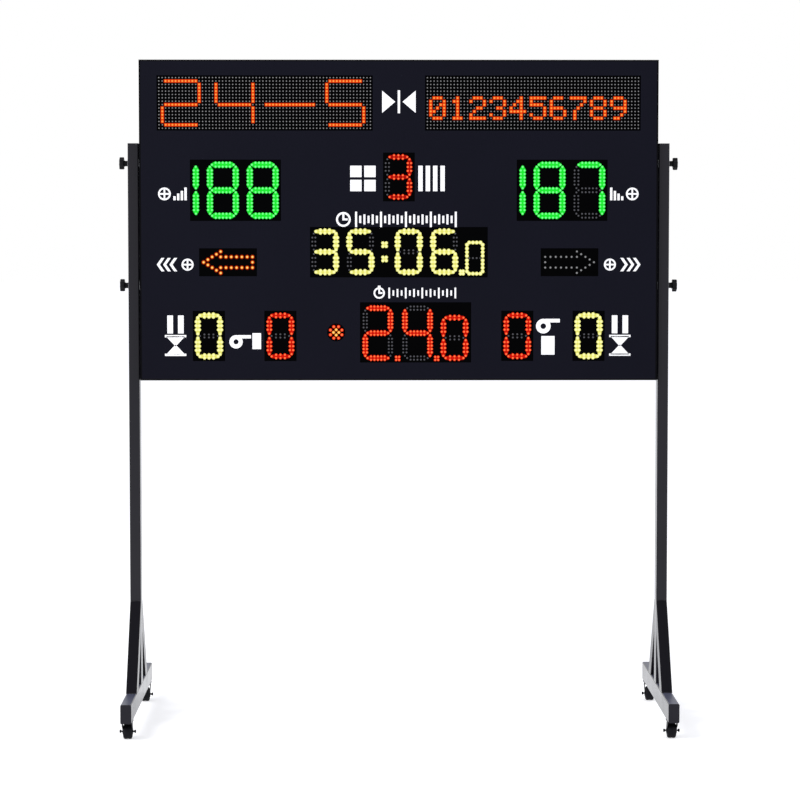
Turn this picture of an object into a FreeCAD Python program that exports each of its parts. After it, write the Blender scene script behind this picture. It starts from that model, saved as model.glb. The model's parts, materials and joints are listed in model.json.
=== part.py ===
import FreeCAD, Part
import math
import os
import Sketcher

# Portable electronic scoreboard: a display board between two wheeled A-frame stands.
# The origin is on the floor under the middle of the board. +X is to the viewer's right, the displays
# face -Y and +Z is up. Lengths are millimetres, and angles that end in _angle are degrees.

sizes = {
    # Board layout, from the pitch of the name displays and the gaps down the middle of the face
    "matrix_pitch": 10.0,
    "matrix_columns": 64,
    "matrix_rows": 16,
    "modules_in_name": 2,
    "module_seam": 0.4,
    "name_clearance": 1.5,
    "name_side_margin": 55.0,
    "name_gap": 160.0,
    "top_margin": 47.0,
    "name_period_gap": 66.0,
    "period_clock_gap": 77.0,
    "clock_shot_gap": 75.0,
    "bottom_margin": 54.0,
    "board_bottom": 1032.0,
    "board_depth": 84.0,
    # Where the displays beside the middle column lie
    "score_offset": 488.0,
    "score_drop": 21.0,
    "possession_offset": 511.0,
    "possession_drop": 30.0,
    "timeout_offset": 569.0,
    "foul_offset": 355.0,
    "counter_drop": 10.5,
    "shot_shift": 50.0,
    "signal_offset": 188.0,
    # Digits: outer size of the lit area, and the black margin round them
    "segment_stroke": 20.0,
    "small_stroke": 11.0,
    "segment_split": 1.6,
    "segment_height": 0.6,
    "score_digit_width": 98.0,
    "score_digit_height": 172.0,
    "score_digit_gap": 23.0,
    "score_side_margin": 4.4,
    "score_end_margin": 5.0,
    "period_digit_width": 82.0,
    "period_digit_height": 136.0,
    "period_side_margin": 6.0,
    "period_end_margin": 4.4,
    "clock_digit_width": 84.0,
    "clock_digit_height": 140.0,
    "clock_digit_gap": 20.5,
    "clock_colon_gap": 60.0,
    "clock_point_gap": 21.0,
    "clock_tenths_width": 57.0,
    "clock_tenths_height": 101.0,
    "clock_side_margin": 8.0,
    "clock_end_margin": 5.0,
    "clock_dot_size": 23.0,
    "clock_dot_spread": 42.0,
    "counter_digit_width": 86.0,
    "counter_digit_height": 143.0,
    "counter_side_margin": 4.8,
    "counter_end_margin": 3.5,
    "shot_digit_width": 95.0,
    "shot_digit_height": 168.0,
    "shot_digit_gap": 24.5,
    "shot_tenths_width": 85.0,
    "shot_tenths_height": 140.0,
    "shot_side_margin": 4.2,
    "shot_end_margin": 6.0,
    "point_size": 18.0,
    "possession_width": 172.0,
    "possession_height": 83.0,
    "arrow_length": 157.0,
    "arrow_height": 75.0,
    "arrow_head_length": 58.0,
    "arrow_shaft_height": 43.0,
    "arrow_line": 11.0,
    "signal_diameter": 53.0,
    # Board casing
    "rail_wall": 2.0,
    "rail_flange": 20.0,
    "panel_thickness": 3.0,
    "cover_thickness": 1.5,
    "edge_gap": 0.3,
    "window_gap": 0.3,
    "display_recess": 0.8,
    "display_rim": 8.0,
    "display_depth": 10.0,
    "display_wall": 2.0,
    "circuit_thickness": 1.6,
    "mullion_width": 40.0,
    "mullion_depth": 18.0,
    "mullion_web": 4.0,
    "mullion_strip_width": 24.0,
    "mullion_strip_thickness": 1.5,
    "bracket_arm": 70.0,
    "bracket_width": 16.0,
    "bracket_thickness": 3.0,
    "screw_flats": 7.0,
    "screw_head_height": 2.8,
    "screw_shank_diameter": 4.0,
    "screw_shank_length": 9.0,
    "screw_clearance": 0.3,
    "screw_inset": 11.0,
    "screw_end_inset": 90.0,
    "hanging_hole_diameter": 9.0,
    "hanging_hole_spread": 700.0,
    "hanging_notch_width": 18.0,
    # Louvres of the rear covers
    "louvre_width": 200.0,
    "louvre_height": 12.0,
    "louvre_depth": 5.0,
    "louvre_lip": 2.0,
    "louvre_skin": 1.2,
    "louvre_pitch": 22.0,
    "louvre_count": 6,
    "louvre_offset": 560.0,
    "louvre_rise": 230.0,
    # Parts inside the board
    "supply_length": 215.0,
    "supply_width": 112.0,
    "supply_depth": 30.0,
    "supply_terminal": 18.0,
    "supply_sheet": 2.0,
    "supply_x": 330.0,
    "supply_drop": 150.0,
    "control_length": 180.0,
    "control_width": 120.0,
    "control_standoff": 8.0,
    "control_peg_width": 7.0,
    "control_peg_inset": 8.0,
    "control_x": 240.0,
    "control_rise": 120.0,
    "chip_height": 6.0,
    "horn_mouth_width": 110.0,
    "horn_throat_width": 26.0,
    "horn_height": 48.0,
    "horn_depth": 36.0,
    "horn_wall": 2.0,
    "horn_driver_width": 42.0,
    "horn_driver_depth": 15.0,
    # Mains inlet with its rocker switch
    "inlet_x": 640.0,
    "inlet_rise": 75.0,
    "inlet_width": 34.0,
    "inlet_height": 52.0,
    "inlet_flange": 5.0,
    "inlet_flange_thickness": 2.0,
    "inlet_body_depth": 24.0,
    "inlet_wall": 2.5,
    "socket_width": 24.4,
    "socket_height": 16.4,
    "socket_depth": 17.0,
    "socket_corner": 4.5,
    "socket_pin_width": 4.0,
    "socket_pin_thickness": 2.0,
    "socket_pin_length": 9.0,
    "socket_pin_spread": 7.0,
    "socket_pin_offset": 2.0,
    "rocker_length": 18.0,
    "rocker_width": 12.0,
    "rocker_gap": 0.3,
    "rocker_end_gap": 1.3,
    "rocker_well_depth": 14.0,
    "rocker_pivot_depth": 5.5,
    "rocker_pin_diameter": 3.0,
    "rocker_pin_length": 1.2,
    "rocker_crown": 4.0,
    "rocker_end_height": 2.4,
    "rocker_skirt": 4.5,
    "rocker_tilt_angle": 10.0,
    # Stands
    "tube_width": 32.0,
    "tube_depth": 56.0,
    "tube_wall": 2.0,
    "tube_corner": 2.5,
    "stand_gap": 3.5,
    "post_top": 1741.0,
    "beam_bottom": 55.0,
    "beam_length": 782.0,
    "strut_reach": 200.0,
    "strut_rise": 254.0,
    "cap_thickness": 2.0,
    "cap_plug": 12.0,
    "cap_gap": 0.2,
    # Hand screws, the upper ones below the post's top and the lower ones below those
    "upper_screw_drop": 60.0,
    "hand_screw_spacing": 365.0,
    "stud_diameter": 10.0,
    "stud_overrun": 1.0,
    "thread_clearance": 0.05,
    "stud_hole_width": 11.0,
    "nut_flats": 17.0,
    "nut_length": 12.0,
    "washer_width": 24.0,
    "washer_thickness": 1.5,
    "clamp_gap": 0.2,
    "hub_diameter": 17.0,
    "hub_length": 10.6,
    "knob_diameter": 38.0,
    "knob_length": 14.0,
    "knob_lobes": 7,
    "lobe_angle": 20.0,
    "knob_groove": 4.0,
    # Castors
    "castor_inset": 50.0,
    "castor_plate_length": 60.0,
    "castor_plate_thickness": 2.5,
    "castor_trail": 18.0,
    "castor_gap": 0.3,
    "raceway_diameter": 24.0,
    "raceway_height": 2.0,
    "raceway_sides": 24,
    "kingpin_diameter": 8.0,
    "kingpin_flats": 12.0,
    "kingpin_head_height": 2.0,
    "running_clearance": 0.05,
    "fork_sheet": 1.5,
    "fork_width": 30.0,
    "fork_length": 30.0,
    "fork_skirt": 7.0,
    "fork_eye_width": 17.0,
    "fork_bend": 2.5,
    "wheel_diameter": 44.0,
    "wheel_side_gap": 0.3,
    "axle_diameter": 6.0,
    "axle_end_length": 9.0,
    "axle_neck_length": 3.0,
    "axle_nut_flats": 8.6,
    # Small pins and small holes have this many sides, and a hole's flats keep its clearance
    "small_round_sides": 8,
    # Cuts run past the solids by this much
    "overrun": 1.0,
}

doc = FreeCAD.newDocument("Scoreboard")
sheet = doc.addObject("Spreadsheet::Sheet", "Sizes")
for row, (alias, number) in enumerate(sizes.items(), 1):
    sheet.set(f"A{row}", alias)
    sheet.set(f"B{row}", str(number))
    sheet.setAlias(f"B{row}", alias)
doc.recompute()


class Size:
    """A number together with the sheet formula that gives it, to draw with one and bind to the other."""

    def __init__(self, number, formula):
        self.number = number
        self.formula = formula

    def __add__(self, other):
        return Size(self.number + number_of(other), f"({self.formula} + {formula_of(other)})")

    def __radd__(self, other):
        return Size(number_of(other) + self.number, f"({formula_of(other)} + {self.formula})")

    def __sub__(self, other):
        return Size(self.number - number_of(other), f"({self.formula} - {formula_of(other)})")

    def __rsub__(self, other):
        return Size(number_of(other) - self.number, f"({formula_of(other)} - {self.formula})")

    def __mul__(self, other):
        return Size(self.number * number_of(other), f"({self.formula} * {formula_of(other)})")

    __rmul__ = __mul__

    def __truediv__(self, other):
        return Size(self.number / number_of(other), f"({self.formula} / {formula_of(other)})")

    def __neg__(self):
        return Size(-self.number, f"(0 - {self.formula})")


def number_of(value):
    return value.number if isinstance(value, Size) else value


def formula_of(value):
    return value.formula if isinstance(value, Size) else f"({value})"


def size(alias):
    return Size(float(sheet.get(alias)), f"Sizes.{alias}")


def root_of(value):
    return Size(math.sqrt(value.number), f"sqrt({value.formula})")


def vector(x, y, z):
    return FreeCAD.Vector(number_of(x), number_of(y), number_of(z))


# Drawing helpers

small_round_sides = int(size("small_round_sides").number)


def new_body(label):
    body = doc.addObject("PartDesign::Body", label)
    body.Label = label
    return body


def new_sketch(body, plane, offset=0):
    """A sketch on one of the body's own origin planes, moved along that plane's normal."""
    sketch = body.newObject("Sketcher::SketchObject", "Sketch")
    support = [feature for feature in body.Origin.OriginFeatures if feature.Role == plane]
    sketch.AttachmentSupport = [(support[0], "")]
    sketch.MapMode = "FlatFace"
    if isinstance(offset, Size):
        sketch.setExpression("AttachmentOffset.Base.z", offset.formula)
    return sketch


def bind_point(sketch, line, end, x, y):
    """Holds one end of a line, or a circle's centre, at x and y from the sketch's origin."""
    for kind, axis, value in (("DistanceX", -2, x), ("DistanceY", -1, y)):
        if isinstance(value, Size):
            index = sketch.addConstraint(Sketcher.Constraint(kind, -1, 1, line, end, value.number))
            sketch.setExpression(f"Constraints[{index}]", value.formula)
        else:
            sketch.addConstraint(Sketcher.Constraint("PointOnObject", line, end, axis))


def draw_outline(sketch, points):
    """A closed outline through points given as sizes; a bare 0 lies on the axis."""
    first = sketch.GeometryCount
    count = len(points)
    ends = [vector(x, y, 0) for x, y in points]
    lines = [Part.LineSegment(ends[i], ends[(i + 1) % count]) for i in range(count)]
    sketch.addGeometry(lines, False)
    joins = [
        Sketcher.Constraint("Coincident", first + i, 2, first + (i + 1) % count, 1)
        for i in range(count)
    ]
    sketch.addConstraint(joins)
    for i, (x, y) in enumerate(points):
        bind_point(sketch, first + i, 1, x, y)


def draw_rectangle(sketch, x, y, width, height):
    """A rectangle about its centre."""
    left, right = x - width / 2, x + width / 2
    low, high = y - height / 2, y + height / 2
    draw_outline(sketch, [(left, low), (right, low), (right, high), (left, high)])


def draw_circle(sketch, x, y, diameter):
    index = sketch.addGeometry(
        Part.Circle(vector(x, y, 0), FreeCAD.Vector(0, 0, 1), diameter.number / 2), False
    )
    bind_point(sketch, index, 3, x, y)
    constraint = sketch.addConstraint(Sketcher.Constraint("Radius", index, diameter.number / 2))
    sketch.setExpression(f"Constraints[{constraint}]", (diameter / 2).formula)


def polar(radius, degrees):
    """A point at that radius and direction, with a bare 0 where it lies on an axis."""
    turn = math.radians(degrees)
    shares = (math.cos(turn), math.sin(turn))
    return tuple(radius * round(share, 6) if abs(share) > 1e-6 else 0 for share in shares)


def draw_polygon(sketch, x, y, radius, count):
    """A regular polygon about x, y with its corners at the given radius."""
    corners = [polar(radius, 360 * (index + 0.5) / count) for index in range(count)]
    draw_outline(sketch, [(x + across, y + up) for across, up in corners])


def draw_small_pin(sketch, x, y, diameter):
    draw_polygon(sketch, x, y, diameter / 2, small_round_sides)


def draw_small_hole(sketch, x, y, diameter):
    """A hole whose flats, not its corners, lie on the diameter."""
    draw_polygon(sketch, x, y, diameter / 2 / math.cos(math.pi / small_round_sides), small_round_sides)


def pad(body, sketch, length, both_ways=False, backwards=False):
    feature = body.newObject("PartDesign::Pad", "Pad")
    feature.Profile = sketch
    feature.setExpression("Length", length.formula)
    feature.Midplane = both_ways
    feature.Reversed = backwards
    return feature


def pocket(body, sketch, length, both_ways=False, backwards=False):
    feature = body.newObject("PartDesign::Pocket", "Pocket")
    feature.Profile = sketch
    feature.setExpression("Length", length.formula)
    feature.Midplane = both_ways
    feature.Reversed = backwards
    return feature


def bevel_edges(body, base, width, chosen):
    """Bevels the edges of the base feature that the test picks by their middle and direction."""
    doc.recompute()
    names = []
    for number, edge in enumerate(base.Shape.Edges, 1):
        first, last = edge.ParameterRange
        middle = edge.valueAt((first + last) / 2)
        if chosen(middle, edge.tangentAt((first + last) / 2)):
            names.append(f"Edge{number}")
    feature = body.newObject("PartDesign::Chamfer", "Chamfer")
    feature.Base = (base, names)
    feature.setExpression("Size", width.formula)
    return feature


def put(thing, x, y, z, axis=(0, 0, 1), angle=0):
    """Places an object: its turn first, then its origin at x, y, z, bound to the sheet."""
    turn = FreeCAD.Rotation(FreeCAD.Vector(*axis), angle)
    thing.Placement = FreeCAD.Placement(vector(x, y, z), turn)
    for letter, value in (("x", x), ("y", y), ("z", z)):
        if isinstance(value, Size):
            thing.setExpression(f"Placement.Base.{letter}", value.formula)
    return thing


def place(x, y, z, axis=(0, 0, 1), angle=0):
    turn = FreeCAD.Rotation(FreeCAD.Vector(*axis), angle)
    return FreeCAD.Placement(vector(x, y, z), turn)


def lay_out(label, pattern, places):
    """One node of separate, identical solids: the pattern piece copied to each place."""
    doc.recompute()
    copies = []
    for where in places:
        piece = pattern.Shape.copy()
        piece.Placement = where * piece.Placement
        copies.append(piece)
    group = doc.addObject("Part::Feature", label)
    group.Label = label
    group.Shape = Part.makeCompound(copies)
    group.Placement = FreeCAD.Placement()
    return group


# Layout of the board's face, from the top down

name_width = size("matrix_columns") * size("matrix_pitch")
name_height = size("matrix_rows") * size("matrix_pitch")
board_width = 2 * (size("name_side_margin") + name_width) + size("name_gap")
name_window_height = name_height + 2 * size("name_clearance")
name_window_width = name_width + 2 * size("name_clearance")

score_width = (
    2 * (size("score_side_margin") + size("score_digit_gap") + size("score_digit_width"))
    + size("segment_stroke")
)
score_height = size("score_digit_height") + 2 * size("score_end_margin")
period_width = size("period_digit_width") + 2 * size("period_side_margin")
period_height = size("period_digit_height") + 2 * size("period_end_margin")
clock_lit_width = (
    4 * size("clock_digit_width")
    + 2 * size("clock_digit_gap")
    + size("clock_colon_gap")
    + size("clock_point_gap")
    + size("clock_tenths_width")
)
clock_width = clock_lit_width + 2 * size("clock_side_margin")
clock_height = size("clock_digit_height") + 2 * size("clock_end_margin")
shot_lit_width = 2 * (size("shot_digit_width") + size("shot_digit_gap")) + size("shot_tenths_width")
shot_width = shot_lit_width + 2 * size("shot_side_margin")
shot_height = size("shot_digit_height") + 2 * size("shot_end_margin")
counter_width = size("counter_digit_width") + 2 * size("counter_side_margin")
counter_height = size("counter_digit_height") + 2 * size("counter_end_margin")

shot_z = size("board_bottom") + size("bottom_margin") + shot_height / 2
clock_z = shot_z + shot_height / 2 + size("clock_shot_gap") + clock_height / 2
period_z = clock_z + clock_height / 2 + size("period_clock_gap") + period_height / 2
name_z = period_z + period_height / 2 + size("name_period_gap") + name_window_height / 2
board_top = name_z + name_window_height / 2 + size("top_margin")
board_height = board_top - size("board_bottom")
board_middle = (board_top + size("board_bottom")) / 2
score_z = period_z + period_height / 2 - size("score_drop") - score_height / 2
possession_z = clock_z - size("possession_drop")
counter_z = shot_z - size("counter_drop")
name_x = (size("name_gap") + name_width) / 2

board_front = -size("board_depth") / 2
board_back = size("board_depth") / 2
panel_back = board_front + size("panel_thickness")
cover_front = board_back - size("cover_thickness")
nose_face = board_front + size("display_recess")

# Where the stands lie
upper_screw_z = size("post_top") - size("upper_screw_drop")
lower_screw_z = upper_screw_z - size("hand_screw_spacing")
post_inner = board_width / 2 + size("stand_gap")
stand_x = post_inner + size("tube_width") / 2
post_outer = post_inner + size("tube_width")
beam_top = size("beam_bottom") + size("tube_depth")

nodes = []


# Board frame: four mitred channel rails with a lip round the panel and the covers

def rail(label, length, z, x, angle, upright=False):
    """A rail along its own X with its outer face up, which angle turns about Y into place."""
    body = new_body(label)
    half = size("board_depth") / 2
    wall = size("rail_wall")
    deep = size("rail_flange")
    front = -half + size("panel_thickness")
    back = half - size("cover_thickness")
    profile = new_sketch(body, "YZ_Plane")
    draw_outline(profile, [
        (-half, 0),
        (half, 0),
        (half, -wall),
        (back, -wall),
        (back, -deep),
        (back - wall, -deep),
        (back - wall, -wall),
        (front + wall, -wall),
        (front + wall, -deep),
        (front, -deep),
        (front, -wall),
        (-half, -wall),
    ])
    pad(body, profile, length, both_ways=True)
    mitre = new_sketch(body, "XZ_Plane")
    end = length / 2
    past = size("overrun")
    for side in (1, -1):
        draw_outline(mitre, [
            (side * (end + past), past),
            (side * (end + past), -deep - past),
            (side * (end - deep - past), -deep - past),
        ])
    pocket(body, mitre, size("board_depth") + 2 * past, both_ways=True)
    if upright:
        flange_holes = new_sketch(body, "XZ_Plane", -back)
        hanging = size("hanging_hole_spread") / 2
        for side in (1, -1):
            draw_small_hole(flange_holes, side * screw_rise, -size("screw_inset"), screw_hole)
            draw_circle(flange_holes, side * hanging, -size("screw_inset"), size("hanging_hole_diameter"))
        pocket(body, flange_holes, wall + past, backwards=True)
        stud_holes = new_sketch(body, "XY_Plane")
        broad = size("stud_hole_width")
        for height in (upper_screw_z, lower_screw_z):
            along = -angle / 90 * (height - board_middle)
            draw_rectangle(stud_holes, along, 0, broad, broad)
        pocket(body, stud_holes, 2 * (wall + past), both_ways=True)
    return put(body, x, 0, z, (0, 1, 0), angle)


screw_hole = size("screw_shank_diameter") + 2 * size("screw_clearance")
screw_rise = board_height / 2 - size("screw_end_inset")

nodes.append(rail("top_rail", board_width, board_top, 0, 0))
nodes.append(rail("bottom_rail", board_width, size("board_bottom"), 0, 180))
nodes.append(rail("right_rail", board_height, board_middle, board_width / 2, 90, True))
nodes.append(rail("left_rail", board_height, board_middle, -board_width / 2, -90, True))


def build_corner_brackets():
    pattern = new_body("corner_bracket_pattern")
    arm = size("bracket_arm")
    broad = size("bracket_width")
    profile = new_sketch(pattern, "XZ_Plane")
    draw_outline(profile, [(0, 0), (arm, 0), (arm, broad), (broad, broad), (broad, arm), (0, arm)])
    pad(pattern, profile, size("bracket_thickness"))
    x = board_width / 2 - size("rail_wall")
    low = size("board_bottom") + size("rail_wall")
    high = board_top - size("rail_wall")
    y = cover_front - size("rail_wall")
    corners = [
        place(-x, y, low, (0, 1, 0), 0),
        place(x, y, low, (0, 1, 0), -90),
        place(x, y, high, (0, 1, 0), 180),
        place(-x, y, high, (0, 1, 0), 90),
    ]
    return lay_out("corner_brackets", pattern, corners)


nodes.append(build_corner_brackets())


def build_mullion():
    """Upright between the rear flanges, whose strip holds the covers' inner edges."""
    body = new_body("rear_mullion")
    half = size("mullion_width") / 2
    wall = size("rail_wall")
    deep = size("mullion_depth")
    web = size("mullion_web") / 2
    strip = size("mullion_strip_width") / 2
    skin = size("cover_thickness")
    outside = skin + size("mullion_strip_thickness")
    profile = new_sketch(body, "XY_Plane")
    draw_outline(profile, [
        (-half, 0),
        (-half, -deep),
        (wall - half, -deep),
        (wall - half, -wall),
        (half - wall, -wall),
        (half - wall, -deep),
        (half, -deep),
        (half, 0),
        (web, 0),
        (web, skin),
        (strip, skin),
        (strip, outside),
        (-strip, outside),
        (-strip, skin),
        (-web, skin),
        (-web, 0),
    ])
    pad(body, profile, board_height - 2 * size("rail_flange"))
    return put(body, 0, cover_front, size("board_bottom") + size("rail_flange"))


nodes.append(build_mullion())

# Front panel with a window for every display
# Each entry is the window's centre and size

windows = [
    (name_x, name_z, name_window_width, name_window_height),
    (-name_x, name_z, name_window_width, name_window_height),
    (size("score_offset"), score_z, score_width, score_height),
    (-size("score_offset"), score_z, score_width, score_height),
    (size("possession_offset"), possession_z, size("possession_width"), size("possession_height")),
    (-size("possession_offset"), possession_z, size("possession_width"), size("possession_height")),
    (size("timeout_offset"), counter_z, counter_width, counter_height),
    (-size("timeout_offset"), counter_z, counter_width, counter_height),
    (size("foul_offset"), counter_z, counter_width, counter_height),
    (-size("foul_offset"), counter_z, counter_width, counter_height),
    (0, period_z, period_width, period_height),
    (0, clock_z, clock_width, clock_height),
    (size("shot_shift"), shot_z, shot_width, shot_height),
]


def build_front_panel():
    body = new_body("front_panel")
    margin = 2 * (size("rail_wall") + size("edge_gap"))
    outline = new_sketch(body, "XZ_Plane")
    draw_rectangle(outline, 0, board_height / 2, board_width - margin, board_height - margin)
    pad(body, outline, size("panel_thickness"))
    gap = 2 * size("window_gap")
    for x, z, width, height in windows:
        opening = new_sketch(body, "XZ_Plane")
        draw_rectangle(opening, x, z - size("board_bottom"), width + gap, height + gap)
        pocket(body, opening, 2 * (size("panel_thickness") + size("overrun")), both_ways=True)
    round_hole = new_sketch(body, "XZ_Plane")
    low_z = shot_z - size("board_bottom")
    draw_circle(round_hole, -size("signal_offset"), low_z, size("signal_diameter") + gap)
    pocket(body, round_hole, 2 * (size("panel_thickness") + size("overrun")), both_ways=True)
    return put(body, 0, panel_back, size("board_bottom"))


nodes.append(build_front_panel())


# Displays: black trays behind the panel whose noses fill the windows

def display_tray(label, width, height, side_rim, end_rim, round_nose=False):
    """A tray about its own middle, with the panel's rear face at y = 0."""
    body = new_body(label)
    tray = new_sketch(body, "XZ_Plane")
    draw_rectangle(tray, 0, 0, width + 2 * side_rim, height + 2 * end_rim)
    pad(body, tray, size("display_depth"), backwards=True)
    nose = new_sketch(body, "XZ_Plane")
    if round_nose:
        draw_circle(nose, 0, 0, width)
    else:
        draw_rectangle(nose, 0, 0, width, height)
    pad(body, nose, size("panel_thickness") - size("display_recess"))
    hollow = new_sketch(body, "XZ_Plane", -size("display_wall"))
    inner_width = width + 2 * side_rim - 2 * size("display_wall")
    inner_height = height + 2 * end_rim - 2 * size("display_wall")
    draw_rectangle(hollow, 0, 0, inner_width, inner_height)
    pocket(body, hollow, size("display_depth") + size("overrun"))
    return body


rim = size("display_rim")
module_width = name_width / size("modules_in_name")
name_tray_pattern = display_tray(
    "name_module_pattern", module_width - size("module_seam"), name_height, 0, rim
)
module_count = int(size("modules_in_name").number)
module_steps = [index - (module_count - 1) / 2 for index in range(module_count)]
for label, side in (("name_display_left", -1), ("name_display_right", 1)):
    spots = [place(side * name_x + step * module_width, panel_back, name_z) for step in module_steps]
    nodes.append(lay_out(label, name_tray_pattern, spots))

for label, x, z, width, height in (
    ("score_display_left", -size("score_offset"), score_z, score_width, score_height),
    ("score_display_right", size("score_offset"), score_z, score_width, score_height),
    ("period_display", 0, period_z, period_width, period_height),
    ("game_clock_display", 0, clock_z, clock_width, clock_height),
    ("shot_clock_display", size("shot_shift"), shot_z, shot_width, shot_height),
):
    nodes.append(put(display_tray(label, width, height, rim, rim), x, panel_back, z))

counter_pattern = display_tray("counter_pattern", counter_width, counter_height, rim, rim)
counter_spots = [
    place(side * size(offset), panel_back, counter_z)
    for side in (-1, 1)
    for offset in ("timeout_offset", "foul_offset")
]
nodes.append(lay_out("counter_displays", counter_pattern, counter_spots))

possession_pattern = display_tray(
    "possession_pattern", size("possession_width"), size("possession_height"), rim, rim
)
possession_spots = [
    place(side * size("possession_offset"), panel_back, possession_z) for side in (-1, 1)
]
nodes.append(lay_out("possession_displays", possession_pattern, possession_spots))


signal_lamp = display_tray(
    "signal_lamp", size("signal_diameter"), size("signal_diameter"), rim, rim, round_nose=True
)
nodes.append(put(signal_lamp, -size("signal_offset"), panel_back, shot_z))


def build_circuit_boards():
    """One circuit board on the rear rim of every tray."""
    boards = []
    lamp_width = size("signal_diameter")
    for x, z, width, height in windows + [(-size("signal_offset"), shot_z, lamp_width, lamp_width)]:
        side_rim = rim
        if width is name_window_width:
            side_rim = 0
            width = name_width - size("module_seam")
            height = name_height
        sheet_box = doc.addObject("Part::Box", "CircuitBoard")
        sheet_box.setExpression("Length", (width + 2 * side_rim).formula)
        sheet_box.setExpression("Width", size("circuit_thickness").formula)
        sheet_box.setExpression("Height", (height + 2 * rim).formula)
        put(
            sheet_box,
            x - width / 2 - side_rim,
            panel_back + size("display_depth"),
            z - height / 2 - rim,
        )
        boards.append(sheet_box)
    group = doc.addObject("Part::Compound", "display_circuit_boards")
    group.Label = "display_circuit_boards"
    group.Links = boards
    return group


nodes.append(build_circuit_boards())

# Lamp segments: raised bars on the trays' faces, grouped by colour
# Letters are the seven segments in their usual order, from a at the top to g in the middle

segments_of = {
    "0": "abcdef",
    "1": "bc",
    "2": "abged",
    "3": "abgcd",
    "4": "fgbc",
    "5": "afgcd",
    "6": "afgedc",
    "7": "abc",
    "8": "abcdefg",
}

groups = {"green": [], "yellow": [], "red": [], "unlit": []}


def bar(x, z, length, stroke, upright):
    """One pointed bar about its middle, standing out of the tray's face."""
    tip = stroke / 2
    half = length / 2
    above = [(-half, 0), (tip - half, tip), (half - tip, tip)]
    outline = above + [(-a, -b) for a, b in above]
    if upright:
        outline = [(b, a) for a, b in outline]
    corners = [FreeCAD.Vector(x + a, nose_face.number, z + b) for a, b in outline]
    face = Part.Face(Part.makePolygon(corners + corners[:1]))
    return face.extrude(FreeCAD.Vector(0, -size("segment_height").number, 0))


def block(x, z, width, height):
    """One square dot about its middle."""
    low = FreeCAD.Vector(x - width / 2, nose_face.number - size("segment_height").number, z - height / 2)
    return Part.makeBox(width, size("segment_height").number, height, low)


def digit(figure, colour, left, low, width, height, stroke, columns="abcdefg"):
    """A seven-segment digit whose outer corner is at left, low; unlit bars join the unlit group."""
    split = size("segment_split").number
    middle_x = left + width / 2
    middle_z = low + height / 2
    across = width - stroke - split
    up = (height - stroke) / 2 - split
    right_x = left + width - stroke / 2
    left_x = left + stroke / 2
    upper_z = middle_z + (height - stroke) / 4
    lower_z = middle_z - (height - stroke) / 4
    bars = {
        "a": (middle_x, low + height - stroke / 2, across, False),
        "b": (right_x, upper_z, up, True),
        "c": (right_x, lower_z, up, True),
        "d": (middle_x, low + stroke / 2, across, False),
        "e": (left_x, lower_z, up, True),
        "f": (left_x, upper_z, up, True),
        "g": (middle_x, middle_z, across, False),
    }
    for letter in columns:
        x, z, length, upright = bars[letter]
        lit = letter in segments_of[figure]
        groups[colour if lit else "unlit"].append(bar(x, z, length, stroke, upright))


def light_scores():
    width = size("score_digit_width").number
    height = size("score_digit_height").number
    pitch = width + size("score_digit_gap").number
    stroke = size("segment_stroke").number
    for side, figures in ((-1, "188"), (1, "187")):
        middle = side * size("score_offset").number
        right = middle + (score_width / 2 - size("score_side_margin")).number
        low = (score_z - size("score_digit_height") / 2).number
        for place_index, figure in enumerate(reversed(figures)):
            columns = "bc" if place_index == 2 else "abcdefg"
            left = right - width - place_index * pitch
            digit(figure, "green", left, low, width, height, stroke, columns)


def light_period():
    width = size("period_digit_width").number
    height = size("period_digit_height").number
    low = period_z.number - height / 2
    digit("3", "red", -width / 2, low, width, height, size("segment_stroke").number)


def light_clock():
    width = size("clock_digit_width").number
    height = size("clock_digit_height").number
    gap = size("clock_digit_gap").number
    colon = size("clock_colon_gap").number
    stroke = size("segment_stroke").number
    low = clock_z.number - height / 2
    left = -clock_lit_width.number / 2
    lefts = [left, left + width + gap, left + 2 * width + gap + colon, left + 3 * width + 2 * gap + colon]
    for start, figure in zip(lefts, "3506"):
        digit(figure, "yellow", start, low, width, height, stroke)
    dot = size("clock_dot_size").number
    spread = size("clock_dot_spread").number
    colon_x = lefts[2] - colon / 2
    for side in (-1, 1):
        groups["yellow"].append(block(colon_x, clock_z.number + side * spread / 2, dot, dot))
    point = size("point_size").number
    last_right = lefts[3] + width
    point_gap = size("clock_point_gap").number
    groups["yellow"].append(block(last_right + point_gap / 2, low + point / 2, point, point))
    tenths_height = size("clock_tenths_height").number
    tenths_width = size("clock_tenths_width").number
    thin = size("small_stroke").number
    digit("0", "yellow", last_right + point_gap, low, tenths_width, tenths_height, thin)


def light_shot_clock():
    width = size("shot_digit_width").number
    height = size("shot_digit_height").number
    gap = size("shot_digit_gap").number
    stroke = size("segment_stroke").number
    point = size("point_size").number
    low = shot_z.number - height / 2
    left = (size("shot_shift") - shot_lit_width / 2).number
    for index, figure in enumerate("24"):
        start = left + index * (width + gap)
        digit(figure, "red", start, low, width, height, stroke)
        groups["red"].append(block(start + width + gap / 2, low + point / 2, point, point))
    start = left + 2 * (width + gap)
    tenths_width = size("shot_tenths_width").number
    tenths_height = size("shot_tenths_height").number
    digit("0", "red", start, low, tenths_width, tenths_height, stroke)


def light_counters():
    width = size("counter_digit_width").number
    height = size("counter_digit_height").number
    stroke = size("segment_stroke").number
    low = counter_z.number - height / 2
    for offset, colour in (("timeout_offset", "yellow"), ("foul_offset", "red")):
        for side in (-1, 1):
            left = side * size(offset).number - width / 2
            digit("0", colour, left, low, width, height, stroke)


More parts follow.
